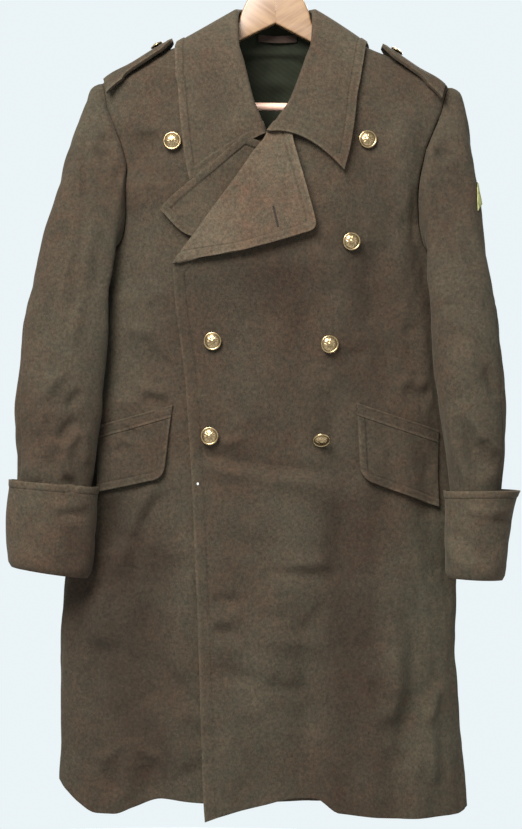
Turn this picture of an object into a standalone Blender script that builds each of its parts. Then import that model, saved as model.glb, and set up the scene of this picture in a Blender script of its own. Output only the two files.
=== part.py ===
"""A double-breasted woollen military greatcoat hanging on a wooden coat hanger.

Blender 4.5, metres, +Z up, the front facing -Y. The origin is the inside top of
the hanger's hook. All named sizes and tables are in millimetres.

The body of the coat is one smooth surface, described by level sections: a point
on it has an angle (0 at the middle of the front, 90 at the wearer's left side,
180 at the middle of the back) and a height. Every panel is a patch of that
surface, and what lies on a panel is made from its points, moved outwards.
"""
import math

import bmesh
import bpy
import numpy as np
from mathutils import Matrix, Vector

MM = 0.001

# Driving sizes
CLOTH = 2.5                 # wall of the wool
DOUBLE_CLOTH = 3.2          # wall of two layers, such as the collar
LINING = 1.2                # wall of the lining
SEAM_GAP = 0.35             # space between pieces that meet
SECTION_POWER = 2.05        # roundness of the level sections, 2 is an ellipse
SIDE_SEAM = 95.0            # angle of the side seams
NECK_POINT_Z = -114.0       # where the shoulder seam meets the collar
SHOULDER_POINT_Z = -200.0   # where the shoulder seam meets the sleeve
UNDERARM_Z = -450.0
BUTTON_RADIUS = 12.7
STRAP_BUTTON_RADIUS = 9.5

COLOURS = {
    "wool": ((0.125, 0.095, 0.066, 1.0), 0.9, 0.0),
    "lining": ((0.027, 0.030, 0.021, 1.0), 0.7, 0.0),
    "loop": ((0.085, 0.055, 0.045, 1.0), 0.8, 0.0),
    "badge": ((0.42, 0.46, 0.16, 1.0), 0.8, 0.0),
    "brass": ((0.80, 0.58, 0.26, 1.0), 0.3, 1.0),
    "beech": ((0.79, 0.50, 0.29, 1.0), 0.5, 0.0),
    "dowel": ((0.83, 0.58, 0.47, 1.0), 0.5, 0.0),
    "steel": ((0.62, 0.62, 0.60, 1.0), 0.3, 1.0),
}


class Table:
    """Rows of named columns, read between its rows along the first column."""

    def __init__(self, columns, rows, smooth=True):
        names = columns.split()
        ordered = sorted(rows)
        self.key = np.array([row[0] for row in ordered], dtype=float)
        self.column = {}
        for index, name in enumerate(names[1:], start=1):
            values = np.array([row[index] for row in ordered], dtype=float)
            self.column[name] = (values, self.slopes(values) if smooth else None)

    def slopes(self, values):
        """Slopes at the rows that never overshoot between them."""
        steps = np.diff(values) / np.diff(self.key)
        slopes = np.zeros(len(values))
        slopes[0] = steps[0]
        slopes[-1] = steps[-1]
        for index in range(1, len(values) - 1):
            before, after = steps[index - 1], steps[index]
            if before * after > 0.0:
                slopes[index] = 2.0 * before * after / (before + after)
        return slopes

    def at(self, name, key):
        """Value of a column at a key, held at the ends."""
        values, slopes = self.column[name]
        key = min(max(key, self.key[0]), self.key[-1])
        if slopes is None:
            return float(np.interp(key, self.key, values))
        index = int(np.searchsorted(self.key, key)) - 1
        index = min(max(index, 0), len(values) - 2)
        span = self.key[index + 1] - self.key[index]
        t = (key - self.key[index]) / span
        rise = values[index + 1] - values[index]
        start = slopes[index] * span
        end = slopes[index + 1] * span
        return float(values[index] + t * (start + t * ((3 * rise - 2 * start - end)
                                                       + t * (start + end - 2 * rise))))


# Level sections of the body. Above the shoulder point the half widths are those
# of the ridge of the shoulders, so the sections close on the shoulder seam.
BODY = Table("z right left front back", [
    (-114.0, 66, 66, 18, 20),
    (-129.5, 96, 96, 27, 29),
    (-144.5, 128, 128, 33, 35),
    (-157.5, 160, 160, 37, 39),
    (-178.0, 200, 200, 42, 44),
    (-200.0, 243, 243, 45, 48),
    (-209.0, 248, 248, 46, 49),
    (-225.0, 253, 253, 47, 50),
    (-240.0, 256, 256, 49, 51),
    (-300.0, 254, 254, 54, 54),
    (-340.0, 249, 249, 56, 55),
    (-380.0, 241, 241, 58, 55),
    (-420.0, 234, 234, 59, 55),
    (-450.0, 232, 231, 60, 55),
    (-500.0, 234, 233, 60, 54),
    (-550.0, 237, 238, 60, 53),
    (-600.0, 240, 243, 60, 52),
    (-650.0, 246, 250, 60, 51),
    (-700.0, 253, 256, 60, 51),
    (-760.0, 261, 261, 61, 53),
    (-815.0, 268, 266, 62, 54),
    (-896.0, 283, 267, 64, 57),
    (-980.0, 290, 266, 66, 60),
    (-1070.0, 288, 273, 69, 63),
    (-1135.0, 288, 280, 71, 65),
    (-1230.0, 288, 290, 73, 68),
])

# Armhole seams on the body, front and back
ARMHOLE = Table("z front back", [
    (-200.0, 90.0, 90.0),
    (-208.0, 77.0, 78.0),
    (-225.0, 69.5, 71.0),
    (-267.0, 60.0, 63.0),
    (-305.0, 55.5, 59.0),
    (-330.0, 54.5, 58.5),
    (-380.0, 58.5, 61.0),
    (-420.0, 65.0, 67.0),
    (-443.0, 77.0, 79.0),
    (-450.0, 95.0, 85.0),
])

# Neck seam from the gorge up to the neck point, on the fronts
NECK_FRONT = Table("z over under", [
    (-268.0, 3.2, 5.6),
    (-246.0, 6.4, 7.2),
    (-228.0, 8.6, 9.1),
    (-200.0, 10.7, 10.9),
    (-178.0, 14.5, 14.5),
    (-165.0, 18.0, 18.0),
    (-144.0, 28.0, 28.0),
    (-128.0, 43.0, 43.0),
    (-118.0, 65.0, 65.0),
    (-114.0, 90.0, 90.0),
])

# Neck seam of the back, from the middle out to the neck point
NECK_BACK = Table("share angle z", [
    (0.00, 180.0, -142.0),
    (0.35, 167.0, -140.0),
    (0.65, 152.0, -134.0),
    (0.85, 128.0, -122.0),
    (1.00, 90.0, -114.0),
])

# Free edges of the fronts from the hem to the gorge, just inside the lapels' roll
OVER_EDGE = Table("z x", [
    (-1227, -79.5),
    (-1197, -82.0),
    (-923, -96.0),
    (-647, -114.0),
    (-464, -134.5),
    (-452, -122.5),
    (-431, -106.7),
    (-382, -72.7),
    (-335, -39.7),
    (-281, -2.7),
    (-268, 14.0),
])
UNDER_EDGE = Table("z x", [
    (-1205, 80.0),
    (-640, 82.0),
    (-466, 80.0),
    (-453, 70.3),
    (-406, 46.3),
    (-348, 14.3),
    (-287, -18.4),
    (-268, -24.5),
])

# Where the rows of the upper fronts start: 1 is the underarm, 2 the shoulder seam
UPPER_ROWS = Table("row inner", [
    (1.0, -464),
    (1.1, -437),
    (1.2, -402),
    (1.3, -362),
    (1.4, -320),
    (1.5, -281),
    (1.6, -267),
    (1.7, -236),
    (1.8, -196),
    (1.9, -146),
    (1.95, -126),
    (2.0, -114),
])

# Height of the hem round the coat
OVER_HEM = Table("angle z", [
    (-15.5, -1227), (-12, -1220), (-1, -1204), (9, -1193), (13.7, -1193),
    (20.5, -1213), (45, -1222), (69, -1219), (79, -1213), (95, -1205),
])
UNDER_HEM = Table("angle z", [
    (-95, -1178), (-84, -1182), (-72.5, -1194), (-61.5, -1210), (-52, -1221),
    (-45, -1221), (-38, -1211), (-28.7, -1198), (-16, -1202), (0, -1199), (17, -1196),
])
BACK_HEM = Table("angle z", [
    (95, -1205), (130, -1200), (180, -1196), (230, -1190), (265, -1178),
])

# Largest folds: a straight run on the front (1) or back (-1), its half width and
# its height, negative for a hollow
FOLDS = [
    # face, x, z, x, z, width, height
    (1, -215, -880, -228, -1215, 34, 7.0),
    (1, -165, -820, -150, -1200, 26, -5.0),
    (1, -112, -1040, -112, -1205, 18, 4.0),
    (1, -40, -980, -62, -1225, 26, 5.0),
    (1, 58, -900, 55, -1195, 30, -6.5),
    (1, 128, -860, 150, -1215, 34, 6.0),
    (1, 212, -1000, 214, -1220, 20, 7.0),
    (1, 180, -1010, 184, -1210, 18, -4.0),
    (1, -150, -700, -95, -850, 26, -3.5),
    (1, 150, -480, 175, -640, 34, -3.0),
    (1, -60, -560, 70, -575, 26, -2.5),
    (1, -150, -540, -175, -660, 30, -3.0),
    (-1, -175, -760, -195, -1200, 32, 6.0),
    (-1, -95, -640, -110, -1200, 34, -5.0),
    (-1, -15, -560, -22, -1200, 32, 5.0),
    (-1, 75, -700, 88, -1200, 30, -5.0),
    (-1, 160, -620, 178, -1205, 34, 6.0),
    (-1, 0, -250, 5, -470, 36, -3.0),
]


def signed_power(value, power):
    return math.copysign(abs(value) ** power, value)


def section(angle, z):
    """Point of the plain body surface, without folds."""
    half = BODY.at("left" if angle > 0.0 else "right", z)
    depth = BODY.at("front" if abs(angle) < 90.0 else "back", z)
    power = 2.0 / SECTION_POWER
    x = half * signed_power(math.sin(math.radians(angle)), power)
    y = -depth * signed_power(math.cos(math.radians(angle)), power)
    return Vector((x, y, z))


def angle_at(x, z):
    """Angle of the front at a distance x from the middle."""
    half = BODY.at("left" if x > 0.0 else "right", z)
    share = min(abs(x) / half, 1.0) ** (SECTION_POWER / 2.0)
    return math.copysign(math.degrees(math.asin(share)), x)


def outward(angle, z):
    """Unit normal of the plain body surface."""
    across = section(angle + 0.5, z) - section(angle - 0.5, z)
    down = section(angle, z - 1.0) - section(angle, z + 1.0)
    normal = down.cross(across)
    if normal.length < 1e-6:
        return Vector((math.copysign(1.0, angle), 0.0, 0.0))
    return normal.normalized()


def fold_lift(point):
    """How far the folds push the surface out at a point."""
    face = 1 if point.y < 0.0 else -1
    total = 0.0
    for side, x0, z0, x1, z1, width, height in FOLDS:
        if side != face:
            continue
        run = Vector((x1 - x0, z1 - z0))
        away = Vector((point.x - x0, point.z - z0))
        share = away.dot(run) / run.length_squared
        held = min(max(share, 0.0), 1.0)
        gap = (away - run * held).length / width
        fade = 1.0 - abs(2.0 * held - 1.0) ** 4 if z1 > -1150 else min(1.0, 1.6 * held)
        total += height * fade * math.exp(-gap * gap)
    return total


def skin(angle, z, lift=0.0):
    """Point of the outer face of the cloth at an angle and height, moved out."""
    if angle > 180.0:
        angle -= 360.0
    point = section(angle, z)
    return point + outward(angle, z) * (lift + fold_lift(point))


def skin_at(x, z, lift=0.0):
    """Point of the front at a distance x from the middle, moved out."""
    return skin(angle_at(x, z), z, lift)


def ramp(value, start, end):
    """0 before start, 1 after end, smooth between."""
    share = min(max((value - start) / (end - start), 0.0), 1.0)
    return share * share * (3.0 - 2.0 * share)


def over_lift(x, z):
    """The left front lies on the right one, and higher on the right lapel."""
    on_panel = 1.0 - ramp(x, 88.0, 135.0)
    on_lapel = (1.0 - ramp(x, 62.0, 120.0)) * ramp(z, -505.0, -452.0)
    return (4.6 * on_panel + 6.4 * on_lapel) * (1.0 - ramp(z, -262.0, -190.0))


def armhole_z(turn):
    """Height on an armhole seam: turn 0 is the shoulder point, 180 the underarm."""
    middle = 0.5 * (SHOULDER_POINT_Z + UNDERARM_Z)
    half = 0.5 * (SHOULDER_POINT_Z - UNDERARM_Z)
    return middle + half * math.cos(math.radians(turn))


def upper_outer_z(v):
    """Height where a row of an upper front or back meets the armhole."""
    return armhole_z(180.0 * (2.0 - v))


# ---------------------------------------------------------------- panels

def front_row(side, v):
    """Ends of a row of a front: inner angle and height, outer angle and height."""
    edge = OVER_EDGE if side > 0 else UNDER_EDGE
    hem = OVER_HEM if side > 0 else UNDER_HEM
    if v <= 1.0:
        foot = edge.key[0]
        inner_z = foot + v * (UPPER_ROWS.at("inner", 1.0) - foot)
        inner = angle_at(edge.at("x", inner_z), inner_z)
        outer_z = hem.at("z", side * SIDE_SEAM)
        outer_z += v * (UNDERARM_Z - outer_z)
        return inner, inner_z, side * SIDE_SEAM, outer_z
    inner_z = UPPER_ROWS.at("inner", v)
    outer_z = upper_outer_z(v)
    if inner_z < NECK_FRONT.key[0]:
        inner = angle_at(edge.at("x", inner_z), inner_z)
    else:
        inner = side * NECK_FRONT.at("over" if side > 0 else "under", inner_z)
    return inner, inner_z, side * ARMHOLE.at("front", outer_z), outer_z


def front_point(side, u, v, lift=0.0):
    """Point of a front: u from its free edge out to the side, v from the hem up."""
    inner, inner_z, outer, outer_z = front_row(side, v)
    angle = inner + u * (outer - inner)
    z = inner_z + u * (outer_z - inner_z)
    if v < 1.0:
        hem = OVER_HEM if side > 0 else UNDER_HEM
        level = inner_z + u * (outer_z - inner_z)
        base = front_row(side, 0.0)
        straight = base[1] + u * (base[3] - base[1])
        z = level + (hem.at("z", angle) - straight) * (1.0 - v) ** 3
    if side > 0:
        lift += over_lift(section(angle, z).x, z)
    return skin(angle, z, lift)


def back_point(u, v, lift=0.0):
    """Point of the back: u from -1 to 1 across, v from the hem up to the seam."""
    share = abs(u)
    flank = 180.0 - SIDE_SEAM
    if v <= 1.0:
        away = share * flank
        angle = 180.0 - math.copysign(away, u)
        hem = BACK_HEM.at("z", angle)
        return skin(angle, hem + v * (UNDERARM_Z - hem), lift)
    f = v - 1.0
    outer_z = upper_outer_z(v)
    outer_away = ARMHOLE.at("back", outer_z)
    middle_z = UNDERARM_Z + f * (NECK_BACK.at("z", 0.0) - UNDERARM_Z)
    top_away, top_z = back_top(share)
    ruled_z = middle_z + share * (outer_z - middle_z)
    top_ruled_z = NECK_BACK.at("z", 0.0) + share * (SHOULDER_POINT_Z - NECK_BACK.at("z", 0.0))
    away = share * outer_away + f ** 16 * (top_away - share * 90.0)
    z = ruled_z + f ** 3 * (top_z - top_ruled_z)
    return skin(180.0 - math.copysign(away, u), z, lift)


NECK_SHARE = 0.34           # share of the back's half width taken by the neck


def back_top(share):
    """Upper edge of the back: the neck seam, then the shoulder seam."""
    if share < NECK_SHARE:
        along = share / NECK_SHARE
        return 180.0 - NECK_BACK.at("angle", along), NECK_BACK.at("z", along)
    along = (share - NECK_SHARE) / (1.0 - NECK_SHARE)
    return 90.0, NECK_POINT_Z + along * (SHOULDER_POINT_Z - NECK_POINT_Z)


# ---------------------------------------------------------------- making meshes

def make_material(name):
    material = bpy.data.materials.get(name)
    if material is None:
        colour, roughness, metallic = COLOURS[name]
        material = bpy.data.materials.new(name)
        material.use_nodes = True
        shader = material.node_tree.nodes["Principled BSDF"]
        shader.inputs["Base Color"].default_value = colour
        shader.inputs["Roughness"].default_value = roughness
        shader.inputs["Metallic"].default_value = metallic
        material.diffuse_color = colour
    return material


def finish_mesh(name, shape, material):
    """Object from a bmesh in millimetres."""
    bmesh.ops.scale(shape, vec=(MM, MM, MM), verts=shape.verts)
    mesh = bpy.data.meshes.new(name)
    shape.to_mesh(mesh)
    shape.free()
    mesh.shade_smooth()
    mesh.set_sharp_from_angle(angle=math.radians(50.0))
    mesh.materials.append(make_material(material))
    thing = bpy.data.objects.new(name, mesh)
    bpy.context.collection.objects.link(thing)
    return thing


def cloth(name, place, columns, rows, thickness=CLOTH, material="wool"):
    """A wall whose outer face is place(u, v, 0) and inner face place(u, v, -thickness)."""
    shape = bmesh.new()
    along_u = shape.verts.layers.float.new("u")
    along_v = shape.verts.layers.float.new("v")
    bmesh.ops.create_grid(shape, x_segments=columns, y_segments=rows, size=1.0)
    for vertex in shape.verts:
        vertex[along_u] = 0.5 * (vertex.co.x + 1.0)
        vertex[along_v] = 0.5 * (vertex.co.y + 1.0)
    outer = list(shape.verts)
    bmesh.ops.extrude_face_region(shape, geom=list(shape.faces), use_keep_orig=True)
    inner = [vertex for vertex in shape.verts if vertex not in set(outer)]
    for vertex in outer:
        vertex.co = place(vertex[along_u], vertex[along_v], 0.0)
    for vertex in inner:
        vertex.co = place(vertex[along_u], vertex[along_v], -thickness)
    bmesh.ops.recalc_face_normals(shape, faces=shape.faces)
    return finish_mesh(name, shape, material)


LOWER_ROWS = 10
UPPER_STOPS = (1.0, 1.1, 1.2, 1.3, 1.4, 1.5, 1.6, 1.7, 1.8, 1.9, 1.95, 2.0)


def panel_v(t):
    """Row heights of a panel: even below the underarm, closer above it."""
    stops = [row / LOWER_ROWS for row in range(LOWER_ROWS)] + list(UPPER_STOPS)
    return float(np.interp(t * (len(stops) - 1), range(len(stops)), stops))


TOP_V = 1.9985              # the last row, just short of the shoulder seam


def build_fronts():
    rows = LOWER_ROWS + len(UPPER_STOPS) - 1
    for name, side, columns in (("front_left_over", 1, 20), ("front_right_under", -1, 18)):
        def place(u, v, lift, side=side):
            return front_point(side, 0.9978 * u, min(panel_v(v), TOP_V), lift)

        cloth(name, place, columns, rows)


def build_back():
    rows = LOWER_ROWS + len(UPPER_STOPS) - 1

    def place(u, v, lift):
        return back_point(0.9985 * (1.0 - 2.0 * u), min(panel_v(v), TOP_V), lift)

    cloth("back", place, 26, rows)


# ---------------------------------------------------------------- sleeves and cuffs

# Rings of a sleeve from near the armhole (2) to the wrist (10). Each ring runs
# from an outer to an inner point; y is its middle, depth its half depth, bow and
# lean shift its front and inner parts, and twist turns it forwards.
SLEEVE = {
    1: Table("ring outer_x outer_z inner_x inner_z bow y depth lean twist", [
        (2, 272, -246, 238, -466, 29, -4, 41, 5, 2),
        (3, 281, -300, 234, -484, 27, -11, 40, 9, 5),
        (4, 289, -363, 229, -508, 17, -23, 42, 13, 10),
        (5, 304, -458, 224, -550, 4, -38, 42, 8, 18),
        (6, 317, -545, 228, -605, 0, -48, 42, 3, 24),
        (7, 327, -640, 239, -672, 0, -52, 40, 0, 24),
        (8, 327, -705, 245, -722, 0, -53, 38, 0, 24),
        (9, 322, -765, 250, -768, 0, -54, 36, 0, 24),
        (10, 320, -874, 255, -872, 0, -55, 35, 0, 24),
        (11, 320, -892, 255, -890, 0, -55, 35, 0, 24),
    ]),
    -1: Table("ring outer_x outer_z inner_x inner_z bow y depth lean twist", [
        (2, 270, -246, 238, -466, 28, -4, 41, 6, 2),
        (3, 289, -303, 234, -484, 24, -11, 40, 12, 5),
        (4, 309, -379, 230, -508, 15, -21, 38, 14, 9),
        (5, 331, -475, 226, -550, 4, -33, 36, 9, 15),
        (6, 346, -570, 228, -602, 0, -43, 35, 3, 20),
        (7, 351, -645, 231, -652, 0, -49, 34, 0, 20),
        (8, 351, -705, 238, -712, 0, -52, 33, 0, 20),
        (9, 350, -762, 243, -770, 0, -54, 32, 0, 20),
        (10, 352, -866, 251, -880, 0, -55, 31, 0, 20),
        (11, 352, -884, 251, -898, 0, -55, 31, 0, 20),
    ]),
}
WRIST = 10.0                # ring at the end of the sleeve
FORE_SEAM = 162.0           # turn of the front seam of the sleeves
HIND_SEAM = (-36.0, 8.0)    # turn of the hind seam at the head and at the wrist


def armhole_point(side, turn):
    """Point of the armhole seam: turn 0 at the shoulder, 90 front, 180 underarm."""
    z = armhole_z(turn)
    if math.sin(math.radians(turn)) >= 0.0:
        return skin(side * ARMHOLE.at("front", z), z)
    return skin(side * (180.0 - ARMHOLE.at("back", z)), z)


def sleeve_ring(side, turn, ring):
    """Point of one ring of a sleeve."""
    share = 0.5 * (1.0 + math.cos(math.radians(turn)))
    if ring <= 1:
        point = armhole_point(side, turn)
        if ring == 1:
            point.x += side * (17.0 * share ** 2 + 6.0 * (1.0 - share) ** 2)
            point.y += -8.0 * math.sin(math.radians(turn)) - 3.0 * (1.0 - share) ** 2
            point.z += -9.0 * share ** 2 - 5.0 * (1.0 - share) ** 2
        return point
    row = SLEEVE[side]
    turned = math.radians(turn + row.at("twist", ring))
    across = 0.5 * (1.0 + math.cos(turned))
    x = row.at("inner_x", ring) + across * (row.at("outer_x", ring) - row.at("inner_x", ring))
    z = row.at("inner_z", ring) + across * (row.at("outer_z", ring) - row.at("inner_z", ring))
    x -= row.at("bow", ring) * math.exp(-((turn % 360.0 - 118.0) / 40.0) ** 2)
    y = row.at("y", ring) - row.at("depth", ring) * math.sin(turned)
    y -= row.at("lean", ring) * math.exp(-((turn % 360.0 - 172.0) / 48.0) ** 2)
    return Vector((side * x, y, z))


# How far a sleeve keeps from the body it hangs against
SLEEVE_CLEAR = Table("z gap", [
    (-900, 15), (-775, 16), (-750, 10), (-660, 9), (-600, 3.5), (-480, 2.5), (-440, 1.0),
])


def beside_body(point):
    """Push a point of a sleeve out of the body's section at its height."""
    weight = 1.0 - ramp(point.z, -462.0, -440.0)
    if weight == 0.0:
        return point
    gap = SLEEVE_CLEAR.at("gap", point.z)
    half = BODY.at("left" if point.x > 0.0 else "right", point.z) + gap
    depth = BODY.at("front" if point.y < 0.0 else "back", point.z) + gap
    reach = (abs(point.x / half) ** SECTION_POWER + abs(point.y / depth) ** SECTION_POWER)
    reach **= 1.0 / SECTION_POWER
    if reach >= 1.4:
        return point
    soft = 0.5 * (reach + 1.0 + math.sqrt((reach - 1.0) ** 2 + 0.0006))
    scale = 1.0 + weight * (soft / reach - 1.0)
    return Vector((point.x * scale, point.y * scale, point.z))


def sleeve_plain(side, turn, ring):
    """Point of the sleeve's outer face, kept beside the body."""
    return beside_body(sleeve_curve(side, turn, ring))


def sleeve_curve(side, turn, ring):
    """Smooth curve down the sleeve through its rings."""
    first = min(int(ring), 10)
    t = ring - first
    before = sleeve_ring(side, turn, max(first - 1, 0))
    here = sleeve_ring(side, turn, first)
    after = sleeve_ring(side, turn, first + 1)
    beyond = sleeve_ring(side, turn, min(first + 2, 11))
    return 0.5 * (2.0 * here + (after - before) * t
                  + (2.0 * before - 5.0 * here + 4.0 * after - beyond) * t ** 2
                  + (3.0 * here - before - 3.0 * after + beyond) * t ** 3)


def sleeve_point(side, turn, ring, lift=0.0):
    """Point of a sleeve's outer face, moved out."""
    point = sleeve_plain(side, turn, ring)
    around = sleeve_plain(side, turn + 1.0, ring) - sleeve_plain(side, turn - 1.0, ring)
    low = max(ring - 0.02, 0.0)
    along = sleeve_plain(side, turn, ring + 0.02) - sleeve_plain(side, turn, low)
    normal = around.cross(along) * side
    return point + normal.normalized() * lift


def hind_seam(ring):
    return HIND_SEAM[0] + (HIND_SEAM[1] - HIND_SEAM[0]) * ramp(ring, 4.0, 7.0)


SLEEVE_STOPS = (0.04, 0.5, 1.0, 1.5, 2.0, 2.5, 3.0, 3.5, 4.0, 4.5, 5.0, 5.6, 6.3, 7.0,
                8.0, 9.0, 10.0)
TOP_TURNS = (-36, -18, -9, 0, 9, 18, 36, 54, 72, 90, 108, 126, 144, 162)
UNDER_TURNS = (162, 180, 198, 216, 234, 252, 270, 288, 306, 324)
SEAM_TRIM = 0.35            # degrees kept free at each sleeve seam


def stop_at(stops, t):
    """Value at t, 0 to 1, along evenly counted stops."""
    return float(np.interp(t * (len(stops) - 1), range(len(stops)), stops))


def sleeve_turn(turns, u, ring):
    """Turn of a column of a sleeve piece, which follows the hind seam as it moves."""
    turn = stop_at(turns, u)
    shift = hind_seam(ring) - HIND_SEAM[0]
    if turns is TOP_TURNS:
        turn += shift * (1.0 - u)
    else:
        turn += shift * u
    return turn + SEAM_TRIM * (1.0 - 2.0 * u)


def build_sleeves():
    rows = len(SLEEVE_STOPS) - 1
    for word, side in (("left", 1), ("right", -1)):
        for piece, turns in (("top", TOP_TURNS), ("under", UNDER_TURNS)):
            def place(u, v, lift, side=side, turns=turns):
                ring = stop_at(SLEEVE_STOPS, v)
                return sleeve_point(side, sleeve_turn(turns, u, ring), ring, lift)

            cloth("sleeve_" + word + "_" + piece, place, len(turns) - 1, rows)


# Profile of a turned-back cuff: ring of the sleeve and how far it stands off
CUFF_PROFILE = Table("row ring lift", [
    (0, 10.07, -1.0),
    (1, 10.22, 0.8),
    (2, 10.24, 3.2),
    (3, 10.10, 5.2),
    (4, 9.80, 6.2),
    (5, 9.40, 7.2),
    (6, 8.98, 8.2),
])
# Turn where the top edge of a cuff stands off most, and how far
CUFF_FLARE = {1: (-20.0, 15.0), -1: (140.0, 3.0)}


def cuff_point(side, turn, row, lift=0.0):
    peak, height = CUFF_FLARE[side]
    away = math.cos(math.radians(0.5 * (turn - peak))) ** 6
    upper = max(0.0, (row - 3.0) / 3.0)
    near_body = math.exp(-((turn % 360.0 - 185.0) / 50.0) ** 2)
    stand = CUFF_PROFILE.at("lift", row) * (1.0 - 0.55 * near_body * upper)
    return sleeve_point(side, turn, CUFF_PROFILE.at("ring", row),
                        stand + height * away * upper ** 2 + lift)


def tube(name, place, around, rows, thickness, material="wool"):
    """A closed ring of cloth with open ends; place gives its outer face."""
    shape = bmesh.new()
    rings = []
    for row in range(rows + 1):
        rings.append([shape.verts.new(place(360.0 * step / around, row / rows))
                      for step in range(around)])
    for lower, upper in zip(rings, rings[1:]):
        for step in range(around):
            other = (step + 1) % around
            shape.faces.new((lower[step], lower[other], upper[other], upper[step]))
    return solidified(name, shape, thickness, material)


def solidified(name, shape, thickness, material="wool", offset=-1.0):
    """Object from an open bmesh, thickened by a modifier on the side away from its normals."""
    thing = finish_mesh(name, shape, material)
    solid = thing.modifiers.new("Wall", "SOLIDIFY")
    solid.thickness = thickness * MM
    solid.offset = offset
    solid.use_even_offset = True
    return thing


def build_cuffs():
    for word, side in (("left", 1), ("right", -1)):
        def place(turn, v, side=side):
            return cuff_point(side, turn * side, 6.0 * v)

        tube("cuff_" + word, place, 20, 6, DOUBLE_CLOTH - 0.6)


# ---------------------------------------------------------------- collar and lapels

# Guides of the folded collar from the gorge to the middle of the back: the neck
# seam it rises from, the top of its roll, and the edge of its fall.
COLLAR = {
    1: Table("row seam_angle seam_z roll_x roll_y roll_z edge_angle edge_z edge_lift rise", [
        (0, 3.4, -266, -8, -70, -275.5, 22.0, -326.5, 5.4, 16),
        (1, 6.0, -249, 8, -69, -253, 23.5, -298, 6.6, 6),
        (2, 8.5, -227, 22, -63, -231, 24.7, -266, 7.0, 2),
        (3, 10.6, -199, 35, -53, -196, 25.9, -229, 6.0, 0),
        (4, 14.4, -177, 44, -43, -168, 28.5, -200, 4.8, 0),
        (5, 18.0, -164, 51, -35, -147, 37.8, -176, 4.5, 0),
        (6, 28.0, -143, 52.5, -25, -125, 50.0, -158, 4.5, 0),
        (7, 45.0, -126, 53, -14, -105, 66.6, -148, 4.5, 0),
        (8, 90.0, -113, 53, 0, -95, 90.0, -144, 4.5, 0),
        (9, 128.0, -121, 50, 16, -92, 118.0, -152, 4.5, 0),
        (10, 152.0, -132, 38, 30, -90, 143.0, -166, 4.5, 0),
        (11, 167.0, -136, 20, 38, -89, 162.0, -176, 5.0, 0),
        (12, 180.0, -137, 0, 41, -89, 180.0, -180, 5.0, 0),
    ]),
    -1: Table("row seam_angle seam_z roll_x roll_y roll_z edge_angle edge_z edge_lift rise", [
        (0, 5.0, -268, 12, -56.5, -277, 27.0, -343, 3.8, 5),
        (1, 6.5, -249, 19, -57.5, -255, 28.0, -318, 3.8, 2),
        (2, 8.8, -227, 28.5, -56, -233, 29.0, -285, 3.8, 0),
        (3, 10.6, -199, 37, -53, -203, 30.3, -240, 4.0, 0),
        (4, 14.4, -177, 44.5, -49, -174, 32.7, -205, 4.5, 0),
        (5, 18.0, -164, 51.5, -39, -149, 42.9, -178, 4.5, 0),
        (6, 28.0, -143, 53, -27, -127, 56.5, -160, 4.5, 0),
        (7, 45.0, -126, 53.5, -14, -107, 71.0, -151, 4.5, 0),
        (8, 90.0, -113, 53, 0, -97, 90.0, -147, 4.5, 0),
        (9, 128.0, -121, 50, 16, -93, 116.0, -154, 4.5, 0),
        (10, 152.0, -132, 38, 30, -90.5, 142.0, -166, 4.5, 0),
        (11, 167.0, -136, 20, 38, -89, 162.0, -176, 5.0, 0),
        (12, 180.0, -137, 0, 41, -89, 180.0, -180, 5.0, 0),
    ]),
}


# Share of a folded section up to the fold, and up to the end of its half round
FOLD_START, FOLD_END = 0.2, 0.4


def folded(seam, crest, middle, edge, normal, radius, t):
    """A section of folded cloth: up from the seam, round the crest, out to the edge.

    The fold is a half circle that touches the crest; normal points from the seam's
    side of the cloth to the edge's side.
    """
    pull = (crest - 0.5 * (seam + middle)).normalized()
    across = (normal - pull * normal.dot(pull)).normalized()
    centre = crest - pull * radius
    first = centre - across * radius
    last = centre + across * radius
    if t <= FOLD_START:
        return seam + (first - seam) * (t / FOLD_START)
    if t <= FOLD_END:
        bend = math.pi * (t - FOLD_START) / (FOLD_END - FOLD_START)
        return centre - across * (radius * math.cos(bend)) + pull * (radius * math.sin(bend))
    t = (t - FOLD_END) / (1.0 - FOLD_END)
    start = last * (1.0 - t) ** 2 + edge * t * t
    bulge = 2.0 * middle - 0.5 * (last + edge)
    return start + bulge * (2.0 * t * (1.0 - t))


def collar_point(station, across):
    """Middle of the collar's wall: station 0 the left gorge to 24 the right one."""
    side = 1 if station <= 12.0 else -1
    row = station if side > 0 else 24.0 - station
    guide = COLLAR[side]
    seam_angle = side * guide.at("seam_angle", row)
    seam = panel_skin(seam_angle, guide.at("seam_z", row), -0.2)
    crest = Vector((side * guide.at("roll_x", row), guide.at("roll_y", row), guide.at("roll_z", row)))
    edge_angle = side * guide.at("edge_angle", row)
    edge = panel_skin(edge_angle, guide.at("edge_z", row), guide.at("edge_lift", row))
    middle = 0.5 * (crest + edge)
    middle += outward(edge_angle, guide.at("edge_z", row)) * COLLAR_BULGE[side]
    middle.z += guide.at("rise", row)
    seam += (crest - seam).normalized() * COLLAR_SEAM
    normal = outward(seam_angle, guide.at("seam_z", row))
    return folded(seam, crest, middle, edge, normal, COLLAR_FOLD, across)


def panel_skin(angle, z, lift):
    """Point on the fronts or back as they lie, the left front over the right one."""
    if 0.0 < angle < 90.0:
        lift += over_lift(section(angle, z).x, z)
    return skin(angle, z, lift)


COLLAR_BULGE = {1: 2.8, -1: 1.5}
COLLAR_SEAM = 3.4           # from the panels' edge to the first row of the collar
COLLAR_FOLD = 3.0           # radius of the collar's roll, to the middle of its wall
FOLDED_STOPS = (0.0, 0.2, 0.25, 0.3, 0.35, 0.4, 0.5, 0.66, 0.83, 1.0)


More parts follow.
